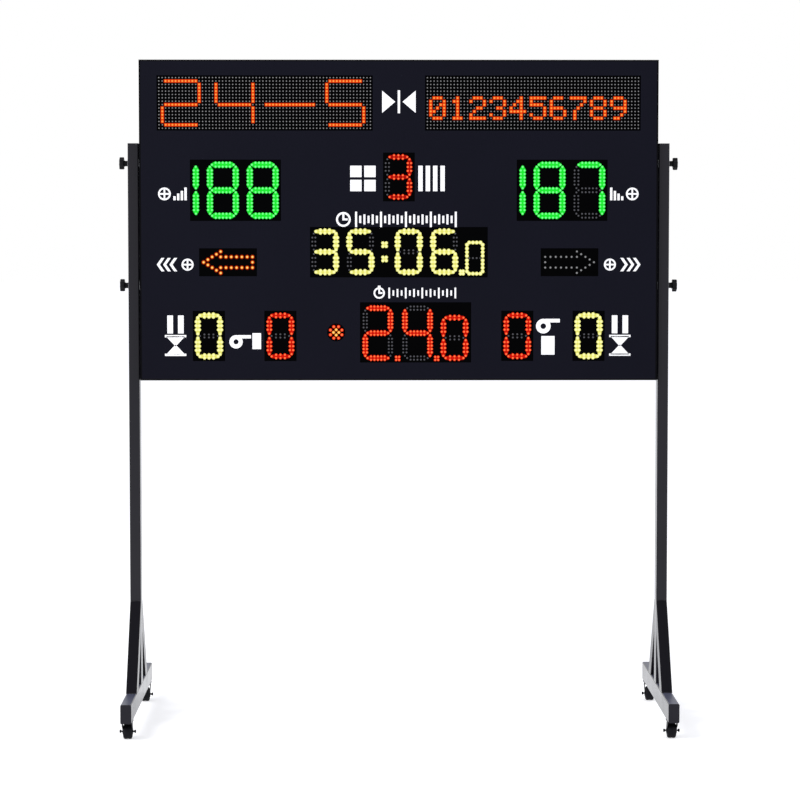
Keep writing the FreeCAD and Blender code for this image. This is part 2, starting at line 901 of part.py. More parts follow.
def light_arrows():
    """An outlined arrow that points outwards on each side; the left one is lit."""
    length = size("arrow_length").number
    head = size("arrow_head_length").number
    half = size("arrow_height").number / 2
    shaft = size("arrow_shaft_height").number / 2
    line = size("arrow_line").number
    slope = half / head
    lean = math.hypot(1, slope)
    inner_tip = line * lean / slope
    inner_head = head - line
    inner_half = (inner_head - inner_tip) * slope
    inner_shaft = shaft - line
    above = [(0, 0), (head, half), (head, shaft), (length, shaft)]
    inner_above = [
        (inner_tip, 0),
        (inner_head, inner_half),
        (inner_head, inner_shaft),
        (length - line, inner_shaft),
    ]
    y = nose_face.number
    out = FreeCAD.Vector(0, -size("segment_height").number, 0)
    for side, colour in ((-1, "red"), (1, "unlit")):
        tip_x = side * (size("possession_offset").number + length / 2)
        faces = []
        for upper in (above, inner_above):
            outline = upper + [(a, -b) for a, b in reversed(upper[1:])]
            points = [FreeCAD.Vector(tip_x - side * a, y, possession_z.number + b) for a, b in outline]
            faces.append(Part.Face(Part.makePolygon(points + points[:1])))
        groups[colour].append(faces[0].cut(faces[1]).Faces[0].extrude(out))


light_scores()
light_period()
light_clock()
light_shot_clock()
light_counters()
light_arrows()
for colour, solids in groups.items():
    lamps = doc.addObject("Part::Feature", f"{colour}_segments")
    lamps.Label = f"{colour}_segments"
    lamps.Shape = Part.makeCompound(solids)
    lamps.Placement = FreeCAD.Placement()
    nodes.append(lamps)


# Rear covers with pressed louvres, and their screws

def build_cover(label, side):
    """Cover held by the mullion's strip at its inner edge and by two screws at its outer edge."""
    body = new_body(label)
    gap = size("edge_gap")
    inner_edge = size("mullion_web") / 2 + gap
    outer_edge = board_width / 2 - size("rail_wall") - gap
    height = board_height - 2 * (size("rail_wall") + gap)
    skin = size("cover_thickness")
    past = size("overrun")
    plate = new_sketch(body, "XZ_Plane")
    x = side * (inner_edge + outer_edge) / 2
    draw_rectangle(plate, x, board_height / 2, outer_edge - inner_edge, height)
    pad(body, plate, skin, backwards=True)
    notches = new_sketch(body, "XZ_Plane")
    hanging = size("hanging_hole_spread") / 2
    for rise, broad in ((screw_rise, screw_hole), (hanging, size("hanging_notch_width"))):
        length = outer_edge + past - board_width / 2 + size("screw_inset") + broad / 2
        for above in (1, -1):
            x = side * (outer_edge + past - length / 2)
            draw_rectangle(notches, x, board_height / 2 + above * rise, length, broad)
    pocket(body, notches, 2 * (skin + past), both_ways=True)
    if side < 0:
        cut = new_sketch(body, "XZ_Plane")
        cut_width = size("inlet_width") + 2 * size("window_gap")
        cut_height = size("inlet_height") + 2 * size("window_gap")
        draw_rectangle(cut, -size("inlet_x"), size("inlet_rise"), cut_width, cut_height)
        pocket(body, cut, 2 * (skin + past), both_ways=True)
    reach = size("louvre_depth")
    lip = size("louvre_lip")
    base = size("louvre_rise")
    high = size("louvre_height")
    thin = size("louvre_skin")
    hood = new_sketch(body, "YZ_Plane", side * size("louvre_offset"))
    draw_outline(hood, [
        (skin, base),
        (skin + reach, base),
        (skin + reach, base + lip),
        (skin, base + high),
    ])
    hood_pad = pad(body, hood, size("louvre_width"), both_ways=True)
    slot = new_sketch(body, "YZ_Plane", side * size("louvre_offset"))
    draw_outline(slot, [
        (-past, base),
        (skin, base),
        (skin, base - past),
        (skin + reach - thin, base - past),
        (skin + reach - thin, base + lip - thin / 2),
        (skin, base + high - 2 * thin),
        (-past, base + high - 2 * thin),
    ])
    slot_cut = pocket(body, slot, size("louvre_width") - 2 * thin, both_ways=True)
    doc.recompute()
    axes = {feature.Role: feature for feature in body.Origin.OriginFeatures}
    rows = body.newObject("PartDesign::LinearPattern", "LouvreRows")
    rows.Originals = [hood_pad, slot_cut]
    rows.Direction = (axes["Z_Axis"], [""])
    rows.Mode = "Spacing"
    rows.setExpression("Offset", size("louvre_pitch").formula)
    rows.setExpression("Occurrences", size("louvre_count").formula)
    body.Tip = rows
    return put(body, 0, cover_front, size("board_bottom"))


nodes.append(build_cover("rear_cover_left", -1))
nodes.append(build_cover("rear_cover_right", 1))


def build_cover_screws():
    pattern = new_body("cover_screw_pattern")
    head = new_sketch(pattern, "XZ_Plane")
    draw_polygon(head, 0, 0, size("screw_flats") / math.sqrt(3), 6)
    pad(pattern, head, size("screw_head_height"), backwards=True)
    shank = new_sketch(pattern, "XZ_Plane")
    draw_small_pin(shank, 0, 0, size("screw_shank_diameter"))
    pad(pattern, shank, size("screw_shank_length"))
    x = board_width / 2 - size("screw_inset")
    spots = [
        place(side * x, board_back, board_middle + above * screw_rise)
        for side in (-1, 1)
        for above in (-1, 1)
    ]
    return lay_out("cover_screws", pattern, spots)


nodes.append(build_cover_screws())


# Parts inside the board, carried by the rear covers

def build_power_supplies():
    pattern = new_body("power_supply_pattern")
    length = size("supply_length")
    deep = size("supply_depth")
    case = new_sketch(pattern, "XZ_Plane")
    draw_rectangle(case, 0, 0, length, size("supply_width"))
    pad(pattern, case, deep)
    terminal = new_sketch(pattern, "XZ_Plane", deep)
    open_length = size("supply_terminal")
    x = length / 2 - open_length / 2
    sides = size("supply_width") - 2 * size("supply_sheet")
    draw_rectangle(terminal, x, 0, open_length + size("overrun"), sides)
    pocket(pattern, terminal, deep / 2)
    z = board_middle - size("supply_drop")
    spots = [place(side * size("supply_x"), cover_front, z) for side in (-1, 1)]
    return lay_out("power_supplies", pattern, spots)


nodes.append(build_power_supplies())


def build_control_board():
    """Circuit board on four pegs, with its processor, terminal row and radio receiver."""
    body = new_body("control_board")
    length = size("control_length")
    broad = size("control_width")
    stand = size("control_standoff")
    inset = size("control_peg_inset")
    plate = new_sketch(body, "XZ_Plane", stand)
    draw_rectangle(plate, 0, 0, length, broad)
    pad(body, plate, size("circuit_thickness"))
    pegs = new_sketch(body, "XZ_Plane")
    peg = size("control_peg_width")
    for across in (-1, 1):
        for up in (-1, 1):
            draw_rectangle(pegs, across * (length / 2 - inset), up * (broad / 2 - inset), peg, peg)
    pad(body, pegs, stand)
    chips = new_sketch(body, "XZ_Plane", stand + size("circuit_thickness"))
    draw_rectangle(chips, -length / 8, broad / 8, length / 6, length / 6)
    draw_rectangle(chips, 0, -broad * 3 / 8, length * 3 / 5, broad / 10)
    draw_rectangle(chips, length / 4, broad / 4, length / 5, broad / 5)
    pad(body, chips, size("chip_height"))
    return put(body, size("control_x"), cover_front, board_middle + size("control_rise"))


nodes.append(build_control_board())


def build_horn():
    """Flared horn with its mouth behind the left cover's louvres and its driver at the throat."""
    body = new_body("horn")
    deep = size("horn_depth")
    tall = size("horn_height")
    for make, wall in ((pad, 0), (pocket, size("horn_wall"))):
        mouth = size("horn_mouth_width") / 2 - wall
        throat = size("horn_throat_width") / 2 - wall
        plan = new_sketch(body, "XY_Plane")
        draw_outline(plan, [(-mouth, 0), (mouth, 0), (throat, -deep), (-throat, -deep)])
        make(body, plan, tall - 2 * wall, both_ways=True)
    driver = new_sketch(body, "XZ_Plane", deep)
    draw_rectangle(driver, 0, 0, size("horn_driver_width"), tall)
    pad(body, driver, size("horn_driver_depth"))
    louvres_middle = size("louvre_rise") + size("louvre_count") * size("louvre_pitch") / 2
    return put(body, -size("louvre_offset"), cover_front, size("board_bottom") + louvres_middle)


nodes.append(build_horn())


# Mains inlet and its rocker, seen from behind the board

inlet_inner = size("inlet_height") / 2 - size("inlet_wall")
rocker_z = inlet_inner - size("rocker_length") / 2 - size("rocker_end_gap")
socket_z = size("socket_height") / 2 + size("inlet_flange") / 2 - inlet_inner


def build_inlet():
    body = new_body("power_inlet")
    lip = size("inlet_flange")
    past = size("overrun")
    flange = new_sketch(body, "XZ_Plane")
    draw_rectangle(flange, 0, 0, size("inlet_width") + 2 * lip, size("inlet_height") + 2 * lip)
    pad(body, flange, size("inlet_flange_thickness"), backwards=True)
    inner = new_sketch(body, "XZ_Plane")
    draw_rectangle(inner, 0, 0, size("inlet_width"), size("inlet_height"))
    pad(body, inner, size("inlet_body_depth"))
    face = -size("inlet_flange_thickness")
    socket = new_sketch(body, "XZ_Plane", face)
    half = size("socket_width") / 2
    low = socket_z - size("socket_height") / 2
    high = socket_z + size("socket_height") / 2
    corner = size("socket_corner")
    draw_outline(socket, [
        (-half, low),
        (half, low),
        (half, high - corner),
        (half - corner, high),
        (corner - half, high),
        (-half, high - corner),
    ])
    pocket(body, socket, size("socket_depth"), backwards=True)
    pins = new_sketch(body, "XZ_Plane", face + size("socket_depth"))
    spread = size("socket_pin_spread")
    drop = size("socket_pin_offset")
    for x, z in ((-spread, -drop), (spread, -drop), (0, drop)):
        draw_rectangle(pins, x, socket_z + z, size("socket_pin_thickness"), size("socket_pin_width"))
    pad(body, pins, size("socket_pin_length"), backwards=True)
    well = new_sketch(body, "XZ_Plane", face)
    well_width = size("rocker_width") + 2 * size("rocker_gap")
    well_length = size("rocker_length") + 2 * size("rocker_end_gap")
    draw_rectangle(well, 0, rocker_z, well_width, well_length)
    pocket(body, well, size("rocker_well_depth"), backwards=True)
    holes = new_sketch(body, "YZ_Plane")
    pivot_y = size("inlet_flange_thickness") - size("rocker_pivot_depth")
    pin_hole = size("rocker_pin_diameter") + 2 * size("running_clearance")
    draw_small_hole(holes, pivot_y, rocker_z, pin_hole)
    reach = size("rocker_width") + 2 * (size("rocker_pin_length") + size("rocker_gap"))
    pocket(body, holes, reach, both_ways=True)
    return put(body, -size("inlet_x"), board_back, size("board_bottom") + size("inlet_rise"))


nodes.append(build_inlet())


def build_rocker():
    """Rocker about its own pivot, with its two faces meeting over the pivot, then tilted to on."""
    body = new_body("power_rocker")
    half = size("rocker_length") / 2
    crown = size("rocker_pivot_depth") + size("rocker_crown") / 2
    ends = size("rocker_pivot_depth") + size("rocker_end_height")
    skirt = size("rocker_skirt")
    side = new_sketch(body, "YZ_Plane")
    draw_outline(side, [
        (crown, 0),
        (ends, half),
        (0, half),
        (-skirt, half / 2),
        (-skirt, -half / 2),
        (0, -half),
        (ends, -half),
    ])
    pad(body, side, size("rocker_width"), both_ways=True)
    pins = new_sketch(body, "YZ_Plane")
    draw_small_pin(pins, 0, 0, size("rocker_pin_diameter"))
    pad(body, pins, size("rocker_width") + 2 * size("rocker_pin_length"), both_ways=True)
    y = board_back + size("inlet_flange_thickness") - size("rocker_pivot_depth")
    z = size("board_bottom") + size("inlet_rise") + rocker_z
    return put(body, -size("inlet_x"), y, z, (1, 0, 0), size("rocker_tilt_angle").number)


nodes.append(build_rocker())


# Stands: post, foot beam and two braces a side, of one rectangular tube

def build_post(label, side):
    body = new_body(label)
    wall = size("tube_wall")
    section = new_sketch(body, "XY_Plane")
    draw_rectangle(section, 0, 0, size("tube_width"), size("tube_depth"))
    draw_rectangle(section, 0, 0, size("tube_width") - 2 * wall, size("tube_depth") - 2 * wall)
    pad(body, section, size("post_top") - size("cap_thickness") - beam_top)
    drilled = new_sketch(body, "YZ_Plane")
    broad = size("stud_hole_width")
    for height in (upper_screw_z, lower_screw_z):
        draw_rectangle(drilled, 0, height - beam_top, broad, broad)
    bored = pocket(body, drilled, size("tube_width") + 2 * size("overrun"), both_ways=True)
    edge_x = size("tube_width").number / 2
    edge_y = size("tube_depth").number / 2

    def outer_corner(middle, direction):
        upright = abs(direction.z) > abs(direction.x) + abs(direction.y)
        return upright and is_near(abs(middle.x), edge_x) and is_near(abs(middle.y), edge_y)

    bevel_edges(body, bored, size("tube_corner"), outer_corner)
    return put(body, side * stand_x, 0, beam_top)


def is_near(value, target):
    """True where two lengths are the same but for rounding."""
    return math.isclose(value, target, rel_tol=1e-6, abs_tol=1e-6)


nodes.append(build_post("left_post", -1))
nodes.append(build_post("right_post", 1))


def build_beam(label, side):
    body = new_body(label)
    wall = size("tube_wall")
    section = new_sketch(body, "XZ_Plane")
    draw_rectangle(section, 0, 0, size("tube_width"), size("tube_depth"))
    draw_rectangle(section, 0, 0, size("tube_width") - 2 * wall, size("tube_depth") - 2 * wall)
    tube = pad(body, section, size("beam_length") - 2 * size("cap_thickness"), both_ways=True)
    edge_x = size("tube_width").number / 2
    edge_z = size("tube_depth").number / 2

    def outer_corner(middle, direction):
        lengthways = abs(direction.y) > abs(direction.x) + abs(direction.z)
        return lengthways and is_near(abs(middle.x), edge_x) and is_near(abs(middle.z), edge_z)

    bevel_edges(body, tube, size("tube_corner"), outer_corner)
    return put(body, side * stand_x, 0, size("beam_bottom") + size("tube_depth") / 2)


nodes.append(build_beam("left_foot_beam", -1))
nodes.append(build_beam("right_foot_beam", 1))


def build_brace_pattern():
    """A sloping tube from the beam's top to the post's front face, cut to fit both."""
    body = new_body("brace_pattern")
    wall = size("tube_wall")
    deep = size("tube_depth")
    face = -deep / 2
    toe = -size("strut_reach")
    rise = size("strut_rise")
    run = size("strut_reach") - deep / 2
    slope = root_of(run * run + rise * rise)
    flat_share = slope / rise
    steep_share = slope / run
    side = new_sketch(body, "YZ_Plane")
    draw_outline(side, [
        (toe, 0),
        (toe + deep * flat_share, 0),
        (face, rise - deep * steep_share),
        (face, rise),
    ])
    bar_pad = pad(body, side, size("tube_width"), both_ways=True)
    bore = new_sketch(body, "YZ_Plane")
    draw_outline(bore, [
        (toe + wall * flat_share, 0),
        (toe + (deep - wall) * flat_share, 0),
        (face, rise - (deep - wall) * steep_share),
        (face, rise - wall * steep_share),
    ])
    hollow = pocket(body, bore, size("tube_width") - 2 * wall, both_ways=True)
    edge_x = size("tube_width").number / 2

    def long_edge(middle, direction):
        sloping = abs(direction.y) > 0.1 and abs(direction.z) > 0.1
        return sloping and is_near(abs(middle.x), edge_x)

    bevel_edges(body, hollow, size("tube_corner"), long_edge)
    return body


brace = build_brace_pattern()
for label, side in (("left_braces", -1), ("right_braces", 1)):
    both = [place(side * stand_x, 0, beam_top, (0, 0, 1), turn) for turn in (0, 180)]
    nodes.append(lay_out(label, brace, both))


def build_end_caps():
    pattern = new_body("tube_cap_pattern")
    wall = size("tube_wall")
    lid = new_sketch(pattern, "XY_Plane")
    draw_rectangle(lid, 0, 0, size("tube_width"), size("tube_depth"))
    lid_pad = pad(pattern, lid, size("cap_thickness"))
    plug = new_sketch(pattern, "XY_Plane")
    inner_width = size("tube_width") - 2 * wall - 2 * size("cap_gap")
    inner_depth = size("tube_depth") - 2 * wall - 2 * size("cap_gap")
    draw_rectangle(plug, 0, 0, inner_width, inner_depth)
    draw_rectangle(plug, 0, 0, inner_width - 2 * wall, inner_depth - 2 * wall)
    pad(pattern, plug, size("cap_plug"), backwards=True)
    edge_x = size("tube_width").number / 2
    edge_y = size("tube_depth").number / 2

    def outer_corner(middle, direction):
        upright = abs(direction.z) > abs(direction.x) + abs(direction.y)
        return upright and is_near(abs(middle.x), edge_x) and is_near(abs(middle.y), edge_y)

    bevel_edges(pattern, pattern.Group[-1], size("tube_corner"), outer_corner)
    half = size("beam_length") / 2 - size("cap_thickness")
    beam_z = size("beam_bottom") + size("tube_depth") / 2
    spots = []
    for side in (-1, 1):
        spots.append(place(side * stand_x, 0, size("post_top") - size("cap_thickness")))
        spots.append(place(side * stand_x, -half, beam_z, (1, 0, 0), 90))
        spots.append(place(side * stand_x, half, beam_z, (1, 0, 0), -90))
    return lay_out("tube_end_caps", pattern, spots)


nodes.append(build_end_caps())


# Clamping of the board: nuts in the side rails, spacers, washers and hand screws

screw_places = [
    (side, height, f"{where}_{level}")
    for side, where in ((-1, "left"), (1, "right"))
    for height, level in ((upper_screw_z, "upper"), (lower_screw_z, "lower"))
]


def build_nuts():
    pattern = new_body("board_nut_pattern")
    hexagon = new_sketch(pattern, "YZ_Plane")
    draw_polygon(hexagon, 0, 0, size("nut_flats") / math.sqrt(3), 6)
    draw_small_hole(hexagon, 0, 0, size("stud_diameter") + 2 * size("thread_clearance"))
    pad(pattern, hexagon, size("nut_length"))
    x = board_width / 2 - size("rail_wall")
    spots = [
        place(side * x, 0, height, (0, 0, 1), 180 if side > 0 else 0)
        for side, height, name in screw_places
    ]
    return lay_out("board_nuts", pattern, spots)


nodes.append(build_nuts())


def build_spacers():
    """Horseshoe plates that drop over the studs, between the board and the posts."""
    pattern = new_body("board_spacer_pattern")
    shoe = new_sketch(pattern, "YZ_Plane")
    edge = size("washer_width") / 2
    slot = size("stud_hole_width") / 2
    draw_outline(shoe, [
        (-edge, -edge),
        (-slot, -edge),
        (-slot, slot),
        (slot, slot),
        (slot, -edge),
        (edge, -edge),
        (edge, edge),
        (-edge, edge),
    ])
    pad(pattern, shoe, size("stand_gap"))
    spots = [
        place(side * board_width / 2, 0, height, (0, 0, 1), 180 if side < 0 else 0)
        for side, height, name in screw_places
    ]
    return lay_out("board_spacers", pattern, spots)


nodes.append(build_spacers())


def build_washer(label, side, height):
    body = new_body(label)
    plate = new_sketch(body, "YZ_Plane")
    draw_rectangle(plate, 0, 0, size("washer_width"), size("washer_width"))
    draw_small_hole(plate, 0, 0, size("stud_diameter") + 2 * size("running_clearance"))
    pad(body, plate, size("washer_thickness"))
    x = side * (post_outer + size("clamp_gap"))
    return put(body, x, 0, height, (0, 0, 1), 180 if side < 0 else 0)


def build_hand_screw(label, side, height):
    """Lobed knob on its hub and stud, along its own +X from the washer's outer face."""
    body = new_body(label)
    seat = size("clamp_gap") * 2 + size("washer_thickness")
    through = seat + size("tube_width") + size("stand_gap") + size("rail_wall") + size("nut_length")
    stud = new_sketch(body, "YZ_Plane")
    draw_circle(stud, 0, 0, size("stud_diameter"))
    pad(body, stud, through + size("stud_overrun"), backwards=True)
    hub = new_sketch(body, "YZ_Plane")
    draw_polygon(hub, 0, 0, size("hub_diameter") / 2, 8)
    pad(body, hub, size("hub_length"))
    head = new_sketch(body, "YZ_Plane", size("hub_length"))
    radius = size("knob_diameter") / 2
    count = int(size("knob_lobes").number)
    half_lobe = size("lobe_angle").number / 2
    outline = []
    for index in range(count):
        middle = 360 * index / count
        outline.append(polar(radius, middle - half_lobe))
        outline.append(polar(radius, middle + half_lobe))
        outline.append(polar(radius - size("knob_groove"), middle + 180 / count))
    draw_outline(head, outline)
    pad(body, head, size("knob_length"))
    return put(body, side * (post_outer + seat), 0, height, (0, 0, 1), 180 if side < 0 else 0)


for side, height, name in screw_places:
    nodes.append(build_washer(f"washer_{name}", side, height))
    nodes.append(build_hand_screw(f"hand_screw_{name}", side, height))


# Castors, built with the swivel axis at the origin and the wheel trailing towards +Y

castor_places = [
    (side, end, f"{where}_{span}")
    for side, where in ((-1, "left"), (1, "right"))
    for end, span in ((-1, "front"), (1, "rear"))
]
swivel_y = size("beam_length") / 2 - size("castor_inset")
plate_bottom = size("beam_bottom") - size("castor_plate_thickness")
race_bottom = plate_bottom - size("raceway_height")
fork_top = race_bottom - size("castor_gap")
fork_under = fork_top - size("fork_sheet")
axle_height = size("wheel_diameter") / 2


def castor_spot(side, end):
    """Where a castor stands: the front ones as drawn, the rear ones turned to trail inwards."""
    return side * stand_x, end * swivel_y, 180 if end > 0 else 0


def build_castor_plates():
    """Top plate with its raceway ring and the kingpin that carries the fork."""
    pattern = new_body("castor_plate_pattern")
    plate = new_sketch(pattern, "XY_Plane", plate_bottom)
    draw_rectangle(plate, 0, 0, size("tube_width"), size("castor_plate_length"))
    pad(pattern, plate, size("castor_plate_thickness"))
    race = new_sketch(pattern, "XY_Plane", plate_bottom)
    draw_polygon(race, 0, 0, size("raceway_diameter") / 2, int(size("raceway_sides").number))
    pad(pattern, race, size("raceway_height"), backwards=True)
    head_top = fork_under - size("castor_gap")
    pin = new_sketch(pattern, "XY_Plane", race_bottom)
    draw_small_pin(pin, 0, 0, size("kingpin_diameter"))
    pad(pattern, pin, race_bottom - head_top, backwards=True)
    head = new_sketch(pattern, "XY_Plane", head_top)
    draw_polygon(head, 0, 0, size("kingpin_flats") / math.sqrt(3), 6)
    pad(pattern, head, size("kingpin_head_height"), backwards=True)
    spots = []
    for side, end, name in castor_places:
        x, y, turn = castor_spot(side, end)
        spots.append(place(x, y, 0, (0, 0, 1), turn))
    return lay_out("castor_plates", pattern, spots)


nodes.append(build_castor_plates())


def build_fork(label, side, end):
    body = new_body(label)
    wide = size("fork_width")
    half = size("fork_length") / 2
    eye = size("fork_eye_width") / 2
    trail = size("castor_trail")
    profile = new_sketch(body, "YZ_Plane")
    draw_outline(profile, [
        (-half, fork_top),
        (half, fork_top),
        (half, fork_top - size("fork_skirt")),
        (trail + eye, axle_height + eye / 2),
        (trail + eye, axle_height - eye / 2),
        (trail + eye / 2, axle_height - eye),
        (trail - eye / 2, axle_height - eye),
        (trail - eye, axle_height - eye / 2),
        (trail - eye, axle_height + eye / 2),
        (-half, fork_top - size("fork_skirt")),
    ])
    pad(body, profile, wide, both_ways=True)
    inside = new_sketch(body, "XZ_Plane")
    gap = wide / 2 - size("fork_sheet")
    past = size("overrun")
    draw_outline(inside, [(-gap, -past), (gap, -past), (gap, fork_under), (-gap, fork_under)])
    span = 2 * (trail + eye + size("fork_length"))
    pocket(body, inside, span, both_ways=True)
    pin_hole = new_sketch(body, "XY_Plane", fork_under - past)
    draw_small_hole(pin_hole, 0, 0, size("kingpin_diameter") + 2 * size("running_clearance"))
    pocket(body, pin_hole, size("fork_sheet") + 2 * past, backwards=True)
    axle_hole = new_sketch(body, "YZ_Plane")
    square = size("axle_diameter") + 2 * size("running_clearance")
    draw_rectangle(axle_hole, trail, axle_height, square, square)
    bored = pocket(body, axle_hole, wide + 2 * past, both_ways=True)
    shoulder_z = fork_top.number
    edge_x = wide.number / 2

    def shoulder(middle, direction):
        level = abs(direction.y) > abs(direction.x) + abs(direction.z)
        return level and is_near(middle.z, shoulder_z) and is_near(abs(middle.x), edge_x)

    bevel_edges(body, bored, size("fork_bend"), shoulder)
    x, y, turn = castor_spot(side, end)
    return put(body, x, y, 0, (0, 0, 1), turn)


def build_wheel(label, side, end):
    body = new_body(label)
    disc = new_sketch(body, "YZ_Plane")
    draw_circle(disc, 0, 0, size("wheel_diameter"))
    draw_circle(disc, 0, 0, size("axle_diameter") + 2 * size("running_clearance"))
    between_legs = size("fork_width") - 2 * size("fork_sheet")
    pad(body, disc, between_legs - 2 * size("wheel_side_gap"), both_ways=True)
    x, y, turn = castor_spot(side, end)
    return put(body, x, y - end * size("castor_trail"), axle_height)


def build_axle(label, side, end):
    """Axle bolt with a nut standing off each leg of the fork."""
    body = new_body(label)
    leg = size("fork_width") / 2
    neck = leg + size("axle_neck_length")
    tip = leg + size("axle_end_length")
    shaft = new_sketch(body, "YZ_Plane")
    draw_circle(shaft, 0, 0, size("axle_diameter"))
    pad(body, shaft, 2 * neck, both_ways=True)
    for way in (1, -1):
        nut = new_sketch(body, "YZ_Plane", way * neck)
        draw_polygon(nut, 0, 0, size("axle_nut_flats") / math.sqrt(3), 6)
        pad(body, nut, tip - neck, backwards=way < 0)
    x, y, turn = castor_spot(side, end)
    return put(body, x, y - end * size("castor_trail"), axle_height)


for side, end, name in castor_places:
    nodes.append(build_fork(f"castor_fork_{name}", side, end))
    nodes.append(build_wheel(f"castor_wheel_{name}", side, end))
    nodes.append(build_axle(f"castor_axle_{name}", side, end))

# Check every object and shape, then write one file a node

doc.recompute()
for thing in doc.Objects:
    if "Invalid" in thing.State or "Error" in thing.State:
        raise RuntimeError(f"{thing.Name} of {thing.Label} failed: {thing.State}")
for node in nodes:
    if node.Shape.isNull() or not node.Shape.isValid() or not node.Shape.Solids:
        raise RuntimeError(f"{node.Label} has no valid solid")
os.makedirs("parts", exist_ok=True)
for node in nodes:
    node.Shape.exportStep(f"parts/{node.Label}.step")
print(len(nodes), "nodes,", sum(len(node.Shape.Solids) for node in nodes), "solids")
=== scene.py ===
import json
import math

import bmesh
import bpy
from mathutils import Matrix, Vector


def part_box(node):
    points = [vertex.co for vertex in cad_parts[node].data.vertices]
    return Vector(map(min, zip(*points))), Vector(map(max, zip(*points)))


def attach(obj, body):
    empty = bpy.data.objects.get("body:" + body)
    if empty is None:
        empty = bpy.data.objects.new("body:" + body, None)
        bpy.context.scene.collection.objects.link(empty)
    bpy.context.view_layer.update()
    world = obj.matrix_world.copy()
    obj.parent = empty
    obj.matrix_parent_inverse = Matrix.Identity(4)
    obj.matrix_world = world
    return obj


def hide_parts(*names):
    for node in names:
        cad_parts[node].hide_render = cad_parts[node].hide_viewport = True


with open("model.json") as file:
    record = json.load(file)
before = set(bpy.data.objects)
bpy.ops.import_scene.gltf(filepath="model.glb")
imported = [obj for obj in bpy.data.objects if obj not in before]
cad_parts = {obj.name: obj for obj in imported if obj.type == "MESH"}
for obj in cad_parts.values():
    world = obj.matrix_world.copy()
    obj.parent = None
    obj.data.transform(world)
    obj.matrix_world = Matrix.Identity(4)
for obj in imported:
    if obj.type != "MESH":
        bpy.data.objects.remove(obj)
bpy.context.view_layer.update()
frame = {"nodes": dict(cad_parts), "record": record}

mm = 0.001
maskDepth = 0.6 * mm   # how far a mask that picks out a face reaches under it


# Camera: fitted to the board, posts, beams and castors of the photograph

def makeCamera():
    shot = {
        "place": (-0.088, -8.43, 1.511),
        "pitchDown": math.radians(3.67),
        "turnRight": math.radians(0.6235),
        "lens": 126.0,
        "sensor": 36.0,
        "farthest": 200,
    }
    data = bpy.data.cameras.new("camera")
    data.lens = shot["lens"]
    data.sensor_width = shot["sensor"]
    data.clip_end = shot["farthest"]
    camera = bpy.data.objects.new("camera", data)
    camera.location = shot["place"]
    camera.rotation_euler = (math.pi / 2 - shot["pitchDown"], 0, -shot["turnRight"])
    bpy.context.scene.collection.objects.link(camera)
    bpy.context.scene.camera = camera


makeCamera()
print("camera placed")


# Shader nodes and shader maths

def addNode(tree, kind, settings=None, sockets=None):
    # One node: its settings come first, then the values or links of its sockets
    node = tree.nodes.new(kind)
    for name, value in (settings or {}).items():
        if name == "stops":
            stops = node.color_ramp.elements
            for index, (position, colour) in enumerate(value):
                stop = stops[index] if index < 2 else stops.new(position)
                stop.position = position
                stop.color = (*colour, 1)
        else:
            setattr(node, name, value)
    for name, value in (sockets or {}).items():
        source = value.output if isinstance(value, Socket) else value
        if isinstance(source, bpy.types.NodeSocket):
            tree.links.new(source, node.inputs[name])
        else:
            node.inputs[name].default_value = source
    return node


class Socket:
    # An output of a node: each operation on it adds one Math node
    def __init__(self, tree, output):
        self.tree = tree
        self.output = output

    def maths(self, operation, *values):
        node = addNode(self.tree, "ShaderNodeMath", {"operation": operation}, dict(enumerate(values)))
        return Socket(self.tree, node.outputs[0])

    def __add__(self, other):
        return self.maths("ADD", self, other)

    __radd__ = __add__

    def __sub__(self, other):
        return self.maths("SUBTRACT", self, other)

    def __mul__(self, other):
        return self.maths("MULTIPLY", self, other)

    def __gt__(self, other):
        return self.maths("GREATER_THAN", self, other)

    def __lt__(self, other):
        return self.maths("LESS_THAN", self, other)

    def __abs__(self):
        return self.maths("ABSOLUTE", self)

    def orElse(self, other):
        return self.maths("MAXIMUM", self, other)

    def power(self, other):
        return self.maths("POWER", self, other)

    def clamped(self):
        node = addNode(self.tree, "ShaderNodeClamp", {}, {"Value": self})
        return Socket(self.tree, node.outputs[0])


